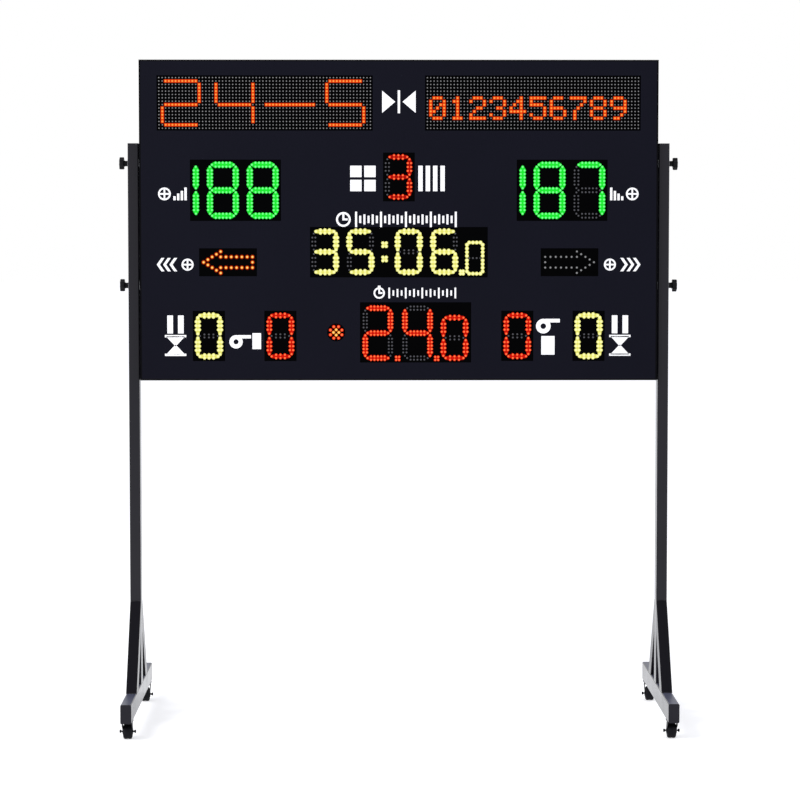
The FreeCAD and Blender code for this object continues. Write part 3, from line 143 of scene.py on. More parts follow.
class Material:
    # A Principled material with helpers for the nodes that feed it
    def __init__(self, name, colour, roughness, **fixed):
        self.data = bpy.data.materials.new(name)
        self.data.use_nodes = True
        self.tree = self.data.node_tree
        self.shader = self.tree.nodes["Principled BSDF"]
        self.data.diffuse_color = (*colour, 1)
        self.set("Base Color", (*colour, 1))
        self.set("Roughness", roughness)
        for socket, value in fixed.items():
            self.set(sockets[socket], value)

    def set(self, name, value):
        self.shader.inputs[name].default_value = value

    def link(self, source, name):
        output = source.output if isinstance(source, Socket) else source
        self.tree.links.new(output, self.shader.inputs[name])

    def node(self, kind, settings=None, values=None, output=0):
        return addNode(self.tree, kind, settings, values).outputs[output]

    def place(self):
        return self.node("ShaderNodeTexCoord", output="Object")

    def axis(self, name):
        split = addNode(self.tree, "ShaderNodeSeparateXYZ", {}, {"Vector": self.place()})
        return Socket(self.tree, split.outputs[name])

    def stretched(self, scale):
        # Object coordinates multiplied by a scale for each axis
        return self.node("ShaderNodeMapping", {}, {"Vector": self.place(), "Scale": scale})

    def noise(self, scale, detail=2.0, vector=None):
        values = {"Scale": scale, "Detail": detail, "Vector": vector or self.place()}
        return Socket(self.tree, self.node("ShaderNodeTexNoise", {}, values, "Fac"))

    def attribute(self, name):
        return Socket(self.tree, self.node("ShaderNodeAttribute", {"attribute_name": name}, {}, "Fac"))

    def ramp(self, factor, stops):
        return self.node("ShaderNodeValToRGB", {"stops": stops}, {"Fac": factor}, "Color")

    def mixed(self, factor, first, second):
        colours = [(*value, 1) if isinstance(value, tuple) else value for value in (first, second)]
        values = {0: factor, 6: colours[0], 7: colours[1]}
        return self.node("ShaderNodeMix", {"data_type": "RGBA"}, values, 2)

    def bump(self, height, distance, strength=1.0):
        values = {"Strength": strength, "Distance": distance, "Height": height}
        self.link(self.node("ShaderNodeBump", {}, values, "Normal"), "Normal")


sockets = {"metallic": "Metallic", "coat": "Coat Weight", "specular": "Specular IOR Level"}


def varied(colour, share):
    # Two shades of a colour, one darker and one lighter by the share
    return [tuple(channel * (1 + side * share) for channel in colour) for side in (-1, 1)]


def powderCoat(name, colour, roughness, specular, grain=900, depth=0.00006, wear=0.18):
    # Powder coat: orange-peel skin, cloudy roughness and a slight change of shade over long stretches
    material = Material(name, colour, roughness, specular=specular)
    material.paint = material.mixed(material.noise(3.0, 4.0), *varied(colour, wear))
    material.gloss = (roughness - 0.05) + material.noise(14.0, 3.0) * 0.1
    material.link(material.paint, "Base Color")
    material.link(material.gloss, "Roughness")
    material.bump(material.noise(grain, 2.0), depth, 0.3)
    return material


def panelPaint(name, colour, edge, line, specular):
    # The front panel's matt paint, with a darker line along its sides, top and bottom
    material = powderCoat(name, colour, 0.5, specular, grain=1300, depth=0.00004)
    low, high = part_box("front_panel")
    x, z = material.axis("X"), material.axis("Z")
    edgeBand = (abs(x) > high.x - line).orElse(z > high.z - line).orElse(z < low.z + line)
    material.link(material.mixed(edgeBand, material.paint, edge), "Base Color")
    return material


smooth = {"grain": 700, "depth": 0.00001}   # the stands' paint has hardly any orange peel


def beamPaint(name, colour, sheenColour, roughness, specular):
    # The stand's paint on a foot beam, with a painted sheen on its top face: a paler slate colour for the
    # reflection of the pale surroundings, and a rougher finish there
    material = powderCoat(name, colour, roughness, specular, **smooth)
    top = material.axis("Z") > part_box("left_foot_beam")[1].z - maskDepth
    # the slate colour on the top face is a painted sheen, not a colour of the paint
    sheenedTop = material.mixed(material.noise(14.0, 3.0), *varied(sheenColour, 0.25))
    material.link(material.mixed(top, material.paint, sheenedTop), "Base Color")
    material.link(material.gloss + top * 0.2, "Roughness")
    return material


def postPaint(name, colour, roughness, specular):
    # The stand's paint on a post, rubbed dull on the strip that faces the board
    material = powderCoat(name, colour, roughness, specular, **smooth)
    x, z = material.axis("X"), material.axis("Z")
    strip = (abs(x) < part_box("right_post")[0].x + maskDepth) * (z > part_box("bottom_rail")[0].z)
    material.link(material.gloss + strip * 0.6, "Roughness")
    return material


def moulding(name, colour, roughness, specular=0.5, grain=1600, depth=0.00005):
    # Moulded plastic: fine spark texture and faint flow marks
    material = Material(name, colour, roughness, specular=specular)
    flow = material.noise(22.0, 3.0)
    material.link(material.mixed(flow, *varied(colour, 0.12)), "Base Color")
    material.link((roughness - 0.05) + material.noise(60.0) * 0.1, "Roughness")
    material.bump(material.noise(grain, 1.0), depth, 0.4)
    return material


def plated(name, colour, roughness):
    # Zinc plate: metallic, with cloudy passivation and fine rolling lines
    material = Material(name, colour, roughness, metallic=1.0)
    cloud = material.noise(30.0, 4.0)
    material.link(material.mixed(cloud, *varied(colour, 0.15)), "Base Color")
    material.link((roughness - 0.08) + material.noise(90.0, 3.0) * 0.16, "Roughness")
    material.bump(material.noise(260.0, 2.0, material.stretched((1, 1, 12))), 0.00003, 0.3)
    return material


def rubber(name, colour):
    # Tread rubber: dull, with dust in its fine grain
    material = Material(name, colour, 0.62, specular=0.12)
    dust = material.noise(70.0, 5.0)
    material.link(material.mixed(dust.power(3.0), colour, (0.02, 0.02, 0.024)), "Base Color")
    material.link(0.55 + dust * 0.2, "Roughness")
    material.bump(material.noise(1200.0, 2.0), 0.00008, 0.5)
    return material


def laminate(name, colour):
    # Circuit board: solder mask over copper tracks
    material = Material(name, colour, 0.35, coat=0.3)
    tracks = material.noise(120.0, 0.0, material.stretched((1, 1, 0.1)))
    material.link(material.mixed((tracks * 6.0 - 2.6).clamped(), *varied(colour, 0.35)), "Base Color")
    material.link(0.3 + tracks * 0.15, "Roughness")
    return material


def litLamp(name, halo, edge, core, crown):
    # A lit lamp, or the light round it: the attribute glow runs from 0 in the halo to 1 at the crown
    material = Material(name, tuple(channel * 0.04 for channel in edge), 0.35, specular=0.02)
    glow = material.attribute("glow") + (material.noise(60.0, 1.0) - 0.5) * 0.1
    stops = [(0.0, halo), (0.25, edge), (0.6, core), (1.0, crown)]
    material.link(material.ramp(glow, stops), "Emission Color")
    material.set("Emission Strength", 1.0)
    return material


def darkLamp(name, foot, core):
    # An unlit lamp: a dark lens, grey in the middle where its die shows and where a highlight is painted
    material = Material(name, foot, 0.3, specular=0.06)
    glow = material.attribute("glow") + (material.noise(300.0, 1.0) - 0.5) * 0.15
    # the grey towards the crown is partly the die and partly a painted highlight
    material.link(material.ramp(glow, [(0.5, foot), (1.0, core)]), "Base Color")
    return material


litColours = {
    "green": ((0.0, 0.22, 0.004), (0.006, 0.76, 0.02), (0.045, 0.94, 0.09), (0.30, 1.0, 0.42)),
    "yellow": ((0.28, 0.27, 0.035), (0.79, 0.77, 0.16), (0.93, 0.92, 0.31), (1.0, 1.0, 0.55)),
    "red": ((0.3, 0.003, 0.0015), (1.0, 0.011, 0.003), (1.0, 0.04, 0.01), (1.0, 0.3, 0.09)),
    "orange": ((0.22, 0.006, 0.001), (0.93, 0.045, 0.003), (1.0, 0.15, 0.01), (1.0, 0.5, 0.1)),
    "amber": ((0.3, 0.007, 0.0), (0.95, 0.07, 0.001), (1.0, 0.4, 0.03), (1.0, 0.86, 0.3)),
}
standColour = (0.0095, 0.009, 0.0125)
materials = {
    "casing": powderCoat("casingPaint", (0.0075, 0.0075, 0.0095), 0.44, 0.28),
    "sides": powderCoat("sidePaint", (0.0042, 0.0042, 0.0055), 0.6, 0.0),
    "panel": panelPaint("panelPaint", (0.0039, 0.004, 0.0086), (0.0008, 0.0008, 0.0014), 2.6 * mm, 0.048),
    "display": moulding("displayMoulding", (0.0006, 0.0006, 0.0008), 0.6, 0.01),
    "lamp_unlit": darkLamp("unlitLamp", (0.001, 0.001, 0.0012), (0.09, 0.09, 0.1)),
    "lamp_matrix": darkLamp("matrixLamp", (0.004, 0.004, 0.004), (0.29, 0.29, 0.29)),
    "circuit": laminate("solderMask", (0.012, 0.07, 0.03)),
    "zinc": plated("zincPlate", (0.42, 0.43, 0.45), 0.36),
    "blackZinc": plated("blackZincPlate", (0.055, 0.055, 0.06), 0.42),
    "supply": plated("supplySheet", (0.6, 0.6, 0.61), 0.42),
    "sounder": moulding("sounderMoulding", (0.014, 0.014, 0.015), 0.5),
    "inlet": moulding("inletMoulding", (0.010, 0.010, 0.011), 0.32),
    "rocker": moulding("rockerMoulding", (0.36, 0.012, 0.010), 0.25),
    "stand": powderCoat("standPaint", standColour, 0.18, 0.2, **smooth),
    "post": postPaint("postPaint", standColour, 0.18, 0.2),
    # the slate colour given to the beams' top faces is a painted sheen
    "beam": beamPaint("beamPaint", standColour, (0.058, 0.062, 0.098), 0.18, 0.23),
    "cap": moulding("capMoulding", (0.0125, 0.012, 0.0165), 0.34, 0.13),
    "knob": moulding("knobMoulding", (0.003, 0.003, 0.0042), 0.34, 0.1),
    "castor_fork": powderCoat("forkEnamel", (0.0022, 0.0022, 0.0034), 0.34, 0.06),
    "castor_wheel": rubber("treadRubber", (0.0028, 0.0028, 0.0048)),
    "castor_axle": powderCoat("axleFinish", (0.0022, 0.0022, 0.003), 0.34, 0.06),
    # the braces' paint is darker than the stand's: painted shade for the darker reflections their slanted
    # faces take
    "brace": powderCoat("shadedBracePaint", (0.0045, 0.0041, 0.0066), 0.19, 0.07, **smooth),
    "ink": powderCoat("whiteInk", (0.9, 0.9, 0.91), 0.5, 0.3, wear=0.02),
}
for colour, shades in litColours.items():
    materials[f"lamp_{colour}"] = litLamp(f"{colour}Lamp", *shades)
# Nodes whose finish differs from that of the rest of their slot; the braces' darker paint is painted shade
special = {
    "left_braces": "brace", "right_braces": "brace", "left_rail": "sides", "right_rail": "sides",
    "left_post": "post", "right_post": "post", "left_foot_beam": "beam", "right_foot_beam": "beam",
    "rear_mullion": "blackZinc", "castor_plates": "castor_fork",
}

for part in frame["record"]["subparts"]:
    node = frame["nodes"][part["node"]]
    finish = materials[special.get(part["node"], part["material_slot"])].data
    if not node.data.materials:
        node.data.materials.append(finish)
    for index in range(len(node.data.materials)):
        node.data.materials[index] = finish
print("materials set on", len(frame["nodes"]), "nodes")


# Mesh helpers

def makePiece(name, mesh, finish, body, slot, crease=38):
    data = bpy.data.meshes.new(name)
    mesh.to_mesh(data)
    mesh.free()
    data.shade_smooth()
    data.set_sharp_from_angle(angle=math.radians(crease))
    data.materials.append(materials[finish].data)
    piece = bpy.data.objects.new(name, data)
    bpy.context.scene.collection.objects.link(piece)
    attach(piece, body)
    return piece


def shapeOf(mesh):
    # Keeps a small mesh to be stamped many times
    bmesh.ops.recalc_face_normals(mesh, faces=mesh.faces)
    data = bpy.data.meshes.new("shape")
    mesh.to_mesh(data)
    mesh.free()
    return data


def stamp(mesh, shape, place, turn=Matrix()):
    move = Matrix.Translation(place) @ turn
    shape.transform(move)
    mesh.from_mesh(shape)
    shape.transform(move.inverted())


def extrude(mesh, faces, way):
    # Draws faces out by a vector
    grown = bmesh.ops.extrude_face_region(mesh, geom=faces)["geom"]
    moved = [item for item in grown if isinstance(item, bmesh.types.BMVert)]
    bmesh.ops.translate(mesh, verts=moved, vec=way)


def mirrored(side):
    # A whole profile from its upper half: the lower half comes first
    return [(radius, -height) for radius, height in side] + side[::-1]


def turned(mesh, profile, steps, closed=False):
    # Turns a profile of (radius, height) points about Z
    seam = 0.005 * mm   # points nearer than this become one
    points = [mesh.verts.new((radius, 0, height)) for radius, height in profile]
    ends = points[1:] + (points[:1] if closed else [])
    edges = [mesh.edges.new(pair) for pair in zip(points, ends)]
    bmesh.ops.spin(
        mesh, geom=points + edges, cent=(0, 0, 0), axis=(0, 0, 1), angle=2 * math.pi, steps=steps,
        use_merge=True,
    )
    bmesh.ops.remove_doubles(mesh, verts=mesh.verts, dist=seam)
    bmesh.ops.recalc_face_normals(mesh, faces=mesh.faces)


def turnedPiece(name, profile, steps, place, *look, closed=False):
    mesh = bmesh.new()
    turned(mesh, profile, steps, closed)
    mesh.transform(place)
    return makePiece(name, mesh, *look)


outwards = Matrix.Rotation(math.pi / 2, 4, "X")   # turns +Z to -Y, out of the board's face
alongX = Matrix.Rotation(math.pi / 2, 4, "Y")     # turns +Z to +X


# Lamp displays: every lamp of every segment, with the light between the lit ones

segmentsOf = {
    "0": "abcdef",
    "1": "bc",
    "2": "abged",
    "3": "abgcd",
    "4": "fgbc",
    "5": "afgcd",
    "6": "afgedc",
    "7": "abc",
    "8": "abcdefg",
}
lampGroups = {}
lampShapes = {}


def around(radius, count, shift=0):
    # Points evenly round a circle
    angles = [2 * math.pi * (step + shift) / count for step in range(count)]
    return [(radius * math.cos(angle), radius * math.sin(angle)) for angle in angles]


def squareOf(half):
    return [(-half, -half), (half, -half), (half, half), (-half, half)]


def lampGroup(colour):
    if colour not in lampGroups:
        mesh = bmesh.new()
        mesh.verts.layers.float.new("glow")
        lampGroups[colour] = mesh
    return lampGroups[colour]


def lampShape(radius, height, sides):
    # Half a sphere with a closed foot
    mesh = bmesh.new()
    # on unlit lamps the same values place a painted highlight towards the crown
    glow = mesh.verts.layers.float.new("glow")   # light rises from the foot to the crown
    bmesh.ops.create_uvsphere(mesh, u_segments=sides, v_segments=6, radius=1)
    whole = mesh.verts[:] + mesh.edges[:] + mesh.faces[:]
    bmesh.ops.bisect_plane(mesh, geom=whole, plane_co=(0, 0, 0), plane_no=(0, 0, 1), clear_inner=True)
    bmesh.ops.holes_fill(mesh, edges=[edge for edge in mesh.edges if edge.is_boundary])
    for vertex in mesh.verts:
        vertex[glow] = 0.25 + 0.75 * max(0, vertex.co.z) ** 1.6
    mesh.transform(outwards @ Matrix.Diagonal((radius, radius, height, 1)))
    return shapeOf(mesh)


def addLamp(colour, place, radius, height, sides=10):
    key = (radius, height, sides)
    if key not in lampShapes:
        lampShapes[key] = lampShape(*key)
    stamp(lampGroup(colour), lampShapes[key], place)


def addPlate(colour, outline, place, height, value):
    # A thin plate of light from its outline in x and z
    mesh = bmesh.new()
    glow = mesh.verts.layers.float.new("glow")
    face = mesh.faces.new([mesh.verts.new((x, 0, z)) for x, z in outline])
    extrude(mesh, [face], (0, -height, 0))
    for vertex in mesh.verts:
        vertex[glow] = value
    shape = shapeOf(mesh)
    stamp(lampGroup(colour), shape, place)
    bpy.data.meshes.remove(shape)


def addSegment(colour, place, length, style, upright):
    # Pairs of lamps with a single one at each end, and where it is lit the light between them
    pitch = (length - 2 * style["tip"]) / (style["pairs"] + 1)
    reach = length / 2 - style["tip"]
    spots = [(-reach, 0), (reach, 0)]
    for index in range(1, style["pairs"] + 1):
        spots += [(index * pitch - reach, side * style["row"]) for side in style["rowSides"]]
    radius = min(style["radius"], style["darkRadius"]) if colour == "unlit" else style["radius"]
    for along, across in spots:
        offset = Vector((across, 0, along)) if upright else Vector((along, 0, across))
        addLamp(colour, place + offset, radius, style["height"])
    if colour != "unlit":
        half = length / 2 - style["tip"] * style["glowTip"]
        wide = style["glowWidth"] / 2
        outline = [(-half, 0), (wide - half, -wide), (half - wide, -wide), (half, 0), (half - wide, wide)]
        outline.append((wide - half, wide))
        if upright:
            outline = [(b, a) for a, b in outline]
        addPlate(colour, outline, place, style["glowHeight"], style["glowValue"])


def addDigit(figure, colour, left, middleZ, y, style, letters="abcdefg"):
    # A seven-segment figure from its left side and middle height: its other segments are unlit
    width, height, stroke, split = (style[key] for key in ("width", "digitHeight", "stroke", "split"))
    across = width - stroke - split
    up = (height - stroke) / 2 - split
    middleX = left + width / 2
    rise = (height - stroke) / 4
    nearX = left + stroke / 2
    farX = left + width - stroke / 2
    bars = {
        "a": (middleX, middleZ + 2 * rise, across, False),
        "b": (farX, middleZ + rise, up, True),
        "c": (farX, middleZ - rise, up, True),
        "d": (middleX, middleZ - 2 * rise, across, False),
        "e": (nearX, middleZ - rise, up, True),
        "f": (nearX, middleZ + rise, up, True),
        "g": (middleX, middleZ, across, False),
    }
    for letter in letters:
        x, z, length, upright = bars[letter]
        lit = letter in segmentsOf[figure]
        addSegment(colour if lit else "unlit", Vector((x, y, z)), length, style, upright)


def addSquare(colour, x, z, y, style, spread):
    # Four lamps in a square, for colons and points
    for sideX in (-1, 1):
        for sideZ in (-1, 1):
            place = Vector((x + sideX * spread / 2, y, z + sideZ * spread / 2))
            addLamp(colour, place, style["radius"], style["height"])
    addPlate(colour, squareOf(spread / 2), Vector((x, y, z)), style["glowHeight"], style["glowValue"])


def digitStyle(width, height, pairs, **changes):
    style = {
        "width": width * mm, "digitHeight": height * mm, "stroke": 20 * mm, "split": 1.6 * mm,
        "pairs": pairs, "tip": 6 * mm, "row": 4.9 * mm, "rowSides": (-1, 1),
        "radius": 4.2 * mm, "darkRadius": 4 * mm, "height": 3.0 * mm,
        "glowWidth": 11 * mm, "glowHeight": 0.6 * mm, "glowTip": 0.35, "glowValue": 0.08,
    }
    style.update(changes)
    return style


styles = {
    "score": digitStyle(
        97, 172, 5, row=5.7 * mm, radius=4.4 * mm, tip=5.6 * mm, glowWidth=15 * mm, glowValue=0.3
    ),
    "period": digitStyle(86, 139, 3, radius=3.9 * mm, glowValue=0.02),
    "clock": digitStyle(86.2, 141.5, 3, row=4.5 * mm, radius=5.2 * mm, tip=5.5 * mm, glowValue=0.25),
    "tenths": digitStyle(
        58, 104, 2, stroke=11 * mm, row=0, rowSides=(0,), radius=5.8 * mm, tip=5.8 * mm,
        glowWidth=6.5 * mm, glowValue=0.24,
    ),
    "counter": digitStyle(86.4, 142.6, 3),
    "yellowCounter": digitStyle(
        86.4, 142.6, 3, row=4.5 * mm, radius=5.2 * mm, tip=5.5 * mm, glowValue=0.25
    ),
    "shot": digitStyle(95.4, 169.6, 5, row=4.9 * mm, radius=4.2 * mm),
    "shotTenths": digitStyle(86.8, 141, 3),
}


def middleOf(node):
    low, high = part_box(node)
    return (low.x + high.x) / 2, (low.z + high.z) / 2, low.y


def fillScores():
    # The first figure of three has only its right-hand segments
    style = styles["score"]
    gaps = {"digit": 22 * mm, "margin": 13.6 * mm}
    for node, figures in (("score_display_left", "188"), ("score_display_right", "187")):
        middleZ, y = middleOf(node)[1:]
        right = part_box(node)[1].x - gaps["margin"] - style["width"]
        for index, figure in enumerate(reversed(figures)):
            letters = "bc" if index == 2 else "abcdefg"
            left = right - index * (style["width"] + gaps["digit"])
            addDigit(figure, "green", left, middleZ, y, style, letters)


def fillPeriod():
    style = styles["period"]
    shift = 1.5 * mm   # the figure lies left of the window's middle
    middleX, middleZ, y = middleOf("period_display")
    addDigit("3", "red", middleX - shift - style["width"] / 2, middleZ, y, style)


def fillClock():
    style = styles["clock"]
    small = styles["tenths"]
    gaps = {"digit": 19.9 * mm, "colon": 58.4 * mm, "point": 19.5 * mm, "margin": 9.2 * mm, "rise": 1.2 * mm}
    dots = {"colonRise": 21.3 * mm, "colonSpread": 10 * mm, "pointRise": 9 * mm, "pointSpread": 8 * mm}
    middleZ, y = middleOf("game_clock_display")[1:]
    middleZ += gaps["rise"]
    bottom = middleZ - style["digitHeight"] / 2
    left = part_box("game_clock_display")[0].x + gaps["margin"]
    step = style["width"] + gaps["digit"]
    jump = style["width"] + gaps["colon"]
    starts = [left, left + step, left + step + jump, left + 2 * step + jump]
    for start, figure in zip(starts, "3506"):
        addDigit(figure, "yellow", start, middleZ, y, style)
    colonX = starts[2] - gaps["colon"] / 2
    for side in (-1, 1):
        addSquare("yellow", colonX, middleZ + side * dots["colonRise"], y, style, dots["colonSpread"])
    right = starts[3] + style["width"]
    pointX = right + gaps["point"] / 2
    addSquare("yellow", pointX, bottom + dots["pointRise"], y, style, dots["pointSpread"])
    addDigit("0", "yellow", right + gaps["point"], bottom + small["digitHeight"] / 2, y, small)


def fillShotClock():
    style = styles["shot"]
    small = styles["shotTenths"]
    gaps = {"digit": 23.4 * mm, "tenths": 20 * mm, "margin": 13.4 * mm, "sink": 2.2 * mm, "point": 9 * mm}
    middleZ, y = middleOf("shot_clock_display")[1:]
    middleZ -= gaps["sink"]
    bottom = middleZ - style["digitHeight"] / 2
    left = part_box("shot_clock_display")[0].x + gaps["margin"]
    for figure, gap in (("2", gaps["digit"]), ("4", gaps["tenths"])):
        addDigit(figure, "red", left, middleZ, y, style)
        pointX = left + style["width"] + gap / 2
        addSquare("red", pointX, bottom + gaps["point"], y, style, gaps["point"])
        left += style["width"] + gap
    addDigit("0", "red", left, bottom + small["digitHeight"] / 2, y, small)


def fillCounters():
    # Time-outs in yellow at both ends, and fouls in red inside them
    gaps = {"end": 55.8 * mm, "apart": 214 * mm}
    low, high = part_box("counter_displays")
    middleZ, y = middleOf("counter_displays")[1:]
    outer = (high.x - low.x) / 2 - gaps["end"]
    inner = outer - gaps["apart"]
    for offset, colour, name in ((outer, "yellow", "yellowCounter"), (inner, "red", "counter")):
        style = styles[name]
        for side in (-1, 1):
            left = side * offset - style["width"] / 2
            addDigit("0", colour, left, middleZ, y, style)


def fillArrows():
    # Each arrow is measured from its tip: along it, and up or down from its middle
    arrow = {
        "reach": 146 * mm, "head": 51 * mm, "half": 32 * mm, "shaft": 16 * mm, "steps": 6, "headSteps": 4,
        "inset": 94 * mm, "radius": 4.3 * mm, "height": 3 * mm, "halo": 6.4 * mm, "haloHeight": 0.3 * mm,
    }
    low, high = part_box("possession_displays")
    middleZ, y = middleOf("possession_displays")[1:]
    windowX = (high.x - low.x) / 2 - arrow["inset"]
    places = [(0, 0), (arrow["reach"], 0)]
    for side in (-1, 1):
        for step in range(1, arrow["headSteps"] + 1):
            share = step / arrow["headSteps"]
            places.append((arrow["head"] * share, side * arrow["half"] * share))
        for step in range(arrow["steps"] + 1):
            along = arrow["head"] + (arrow["reach"] - arrow["head"]) * step / arrow["steps"]
            places.append((along, side * arrow["shaft"]))
    halo = around(arrow["halo"], 12)
    for side, colour in ((-1, "amber"), (1, "matrix")):
        tipX = side * (windowX + arrow["reach"] / 2)
        for along, rise in places:
            place = Vector((tipX - side * along, y, middleZ + rise))
            addLamp(colour, place, arrow["radius"], arrow["height"])
            if colour == "amber":
                addPlate(colour, halo, place, arrow["haloHeight"], 0.0)


def fillSignal():
    # The round signal lamp: a ring of eight lamps round a brighter cross of four
    signal = {"cross": 8 * mm, "ring": 18.5 * mm, "radius": 4.9 * mm, "height": 3 * mm}
    middleX, middleZ, y = middleOf("signal_lamp")
    for reach, count, shift, colour in ((signal["cross"], 4, 0, "amber"), (signal["ring"], 8, 0.5, "red")):
        for across, up in around(reach, count, shift):
            place = Vector((middleX + across, y, middleZ + up))
            addLamp(colour, place, signal["radius"], signal["height"])


# Name displays: 64 by 16 lamps with plain numerals, small ones five lamps wide and seven high

numerals = {
    "1": "..#.. .##.. ..#.. ..#.. ..#.. ..#.. .###.",
    "2": ".###. #...# ....# ..##. .#... #.... #####",
    "3": ".###. #...# ....# ..##. ....# #...# .###.",
    "4": "...#. ..##. .#.#. #..#. ##### ...#. ...#.",
    "5": "##### #.... ####. ....# ....# #...# .###.",
    "6": ".###. #.... #.... ####. #...# #...# .###.",
    "7": "##### ....# ...#. ..#.. .#... .#... .#...",
    "8": ".###. #...# #...# .###. #...# #...# .###.",
    "9": ".###. #...# #...# .#### ....# ...#. .##..",
    "0": ".###. #...# #..## #.#.# ##..# #...# .###.",
}


def tallNumeral(figure):
    # A seven-segment figure 12 lamps wide and 14 high, one lamp thick
    spots = set()
    for letter in segmentsOf[figure]:
        if letter in "adg":
            row = {"a": 0, "g": 7, "d": 13}[letter]
            spots |= {(column, row) for column in range(1, 11)}
        else:
            column = 11 if letter in "bc" else 0
            rows = range(1, 7) if letter in "bf" else range(8, 13)
            spots |= {(column, row) for row in rows}
    return spots


def leftNameLamps():
    # Three tall figures with a long dash before the last
    lit = {(column, 8) for column in range(32, 47)}
    for figure, start in (("2", 1), ("4", 17), ("5", 50)):
        lit |= {(start + column, row + 1) for column, row in tallNumeral(figure)}
    return lit


def rightNameLamps():
    # The ten figures in a row
    lit = set()
    column = 1
    for figure in "0123456789":
        for row, line in enumerate(numerals[figure].split()):
            lit |= {(column + index, row + 6) for index, mark in enumerate(line) if mark == "#"}
        column += 6   # five lamps and a gap
    return lit


def fillName(node, lit):
    grid = {
        "columns": 64, "rows": 16, "pitch": 10 * mm, "sides": 8, "dark": 2.7 * mm, "darkHeight": 1.6 * mm,
        "bright": 4.1 * mm, "brightHeight": 1.8 * mm, "glowHeight": 0.3 * mm, "glowValue": 0.16,
    }
    middleX, middleZ, y = middleOf(node)
    square = squareOf(grid["pitch"] / 2)
    for column in range(grid["columns"]):
        for row in range(grid["rows"]):
            x = middleX + (column - (grid["columns"] - 1) / 2) * grid["pitch"]
            z = middleZ - (row - (grid["rows"] - 1) / 2) * grid["pitch"]
            place = Vector((x, y, z))
            if (column, row) in lit:
                addLamp("orange", place, grid["bright"], grid["brightHeight"], grid["sides"])
                addPlate("orange", square, place, grid["glowHeight"], grid["glowValue"])
            else:
                addLamp("matrix", place, grid["dark"], grid["darkHeight"], grid["sides"])


fillScores()
fillPeriod()
fillClock()
fillShotClock()
fillCounters()
fillArrows()
fillSignal()
fillName("name_display_left", leftNameLamps())
fillName("name_display_right", rightNameLamps())
slots = {
    "green": "lamp_green", "yellow": "lamp_yellow", "red": "lamp_red", "orange": "lamp_red",
    "amber": "lamp_red", "unlit": "lamp_unlit", "matrix": "lamp_unlit",
}
for colour, mesh in lampGroups.items():
    piece = makePiece(f"{colour}Lamps", mesh, f"lamp_{colour}", "base", slots[colour], 60)
    if colour not in ("orange", "amber", "matrix"):
        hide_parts(f"{colour}_segments")
    print(colour, "lamps", len(piece.data.polygons), "faces")
for shape in lampShapes.values():
    bpy.data.meshes.remove(shape)


# White marks on the panel: plain signs for what each display shows

class Marks:
    # Marks are drawn in millimetres from a middle point on the panel's face
    def __init__(self):
        self.mesh = bmesh.new()
        self.skin = 0.3 * mm        # bars and shapes
        self.ringSkin = 0.36 * mm   # rings lie over the bars that run into them
        self.ringSteps = 36
        self.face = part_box("front_panel")[0].y
        self.middle = (0, 0)

    def at(self, x, z):
        self.middle = (x * mm, z * mm)

    def spot(self, x, z):
        return Vector((self.middle[0] + x * mm, self.face, self.middle[1] + z * mm))

    def bar(self, x, z, wide, tall):
        size = Matrix.Diagonal((wide * mm, self.skin, tall * mm, 1))
        bmesh.ops.create_cube(self.mesh, size=1, matrix=Matrix.Translation(self.spot(x, z)) @ size)

    def ring(self, x, z, radius, line):
        # A turned ring of rectangular section
        inner, outer, half = (radius - line) * mm, radius * mm, self.ringSkin / 2
        corners = [(inner, -half), (outer, -half), (outer, half), (inner, half)]
        mesh = bmesh.new()
        turned(mesh, corners, self.ringSteps, closed=True)
        shape = shapeOf(mesh)
        stamp(self.mesh, shape, self.spot(x, z), outwards)
        bpy.data.meshes.remove(shape)

    def shape(self, points):
        back = Vector((0, self.skin / 2, 0))
        corners = [self.mesh.verts.new(self.spot(x, z) + back) for x, z in points]
        extrude(self.mesh, [self.mesh.faces.new(corners)], (0, -self.skin, 0))

    def scale(self, start, end, heights, wide):
        # A row of upright ticks
        for index, tall in enumerate(heights):
            self.bar(start + (end - start) * index / (len(heights) - 1), 0, wide, tall)

    def clock(self, x, radius, line):
        # A dial with its long hand up and its short hand to the right
        longHand, shortHand = radius * 0.6, radius * 0.44
        self.ring(x, 0, radius, line)
        self.bar(x, (line + longHand) / 2, line, longHand)
        self.bar(x + shortHand / 2, 0, shortHand + line, line)

    def ball(self, x, radius, line):
        # A circle with an upright seam and a level one on either side of it
        self.ring(x, 0, radius, line)
        self.bar(x, 0, line, 2 * radius - line)
        for side in (-1, 1):
            self.bar(x + side * radius / 2, 0, radius - line, line)

    def chevron(self, x, side):
        # Two slanted bars that meet at the tip on the named side
        tip, rise, line = 14, 20, 9
        for up in (-1, 1):
            outside = [(x + side * tip, 0), (x, up * rise)]
            inside = [(x - side * line, up * rise), (x + side * (tip - line), 0)]
            self.shape(outside + inside)

    def whistle(self, x, z, radius):
        # A round body under a flat mouthpiece, in shares of its radius
        body = {"back": 0.5, "down": 0.2, "wall": 0.62}
        mouth = {"forward": 0.75, "up": 0.55, "length": 2.0, "height": 0.5}
        self.ring(x - radius * body["back"], z - radius * body["down"], radius, radius * body["wall"])
        middle = (x + radius * mouth["forward"], z + radius * mouth["up"])
        self.bar(*middle, radius * mouth["length"], radius * mouth["height"])


def drawVersus(marks):
    # Two triangles with their tips at either side of a bar
    versus = {"middle": (0, 1864), "back": 50, "half": 33, "tip": 11, "bar": (7, 68)}
    marks.at(*versus["middle"])
    for side in (-1, 1):
        back = side * versus["back"]
        marks.shape([(back, versus["half"]), (back, -versus["half"]), (side * versus["tip"], 0)])
    marks.bar(0, 0, *versus["bar"])


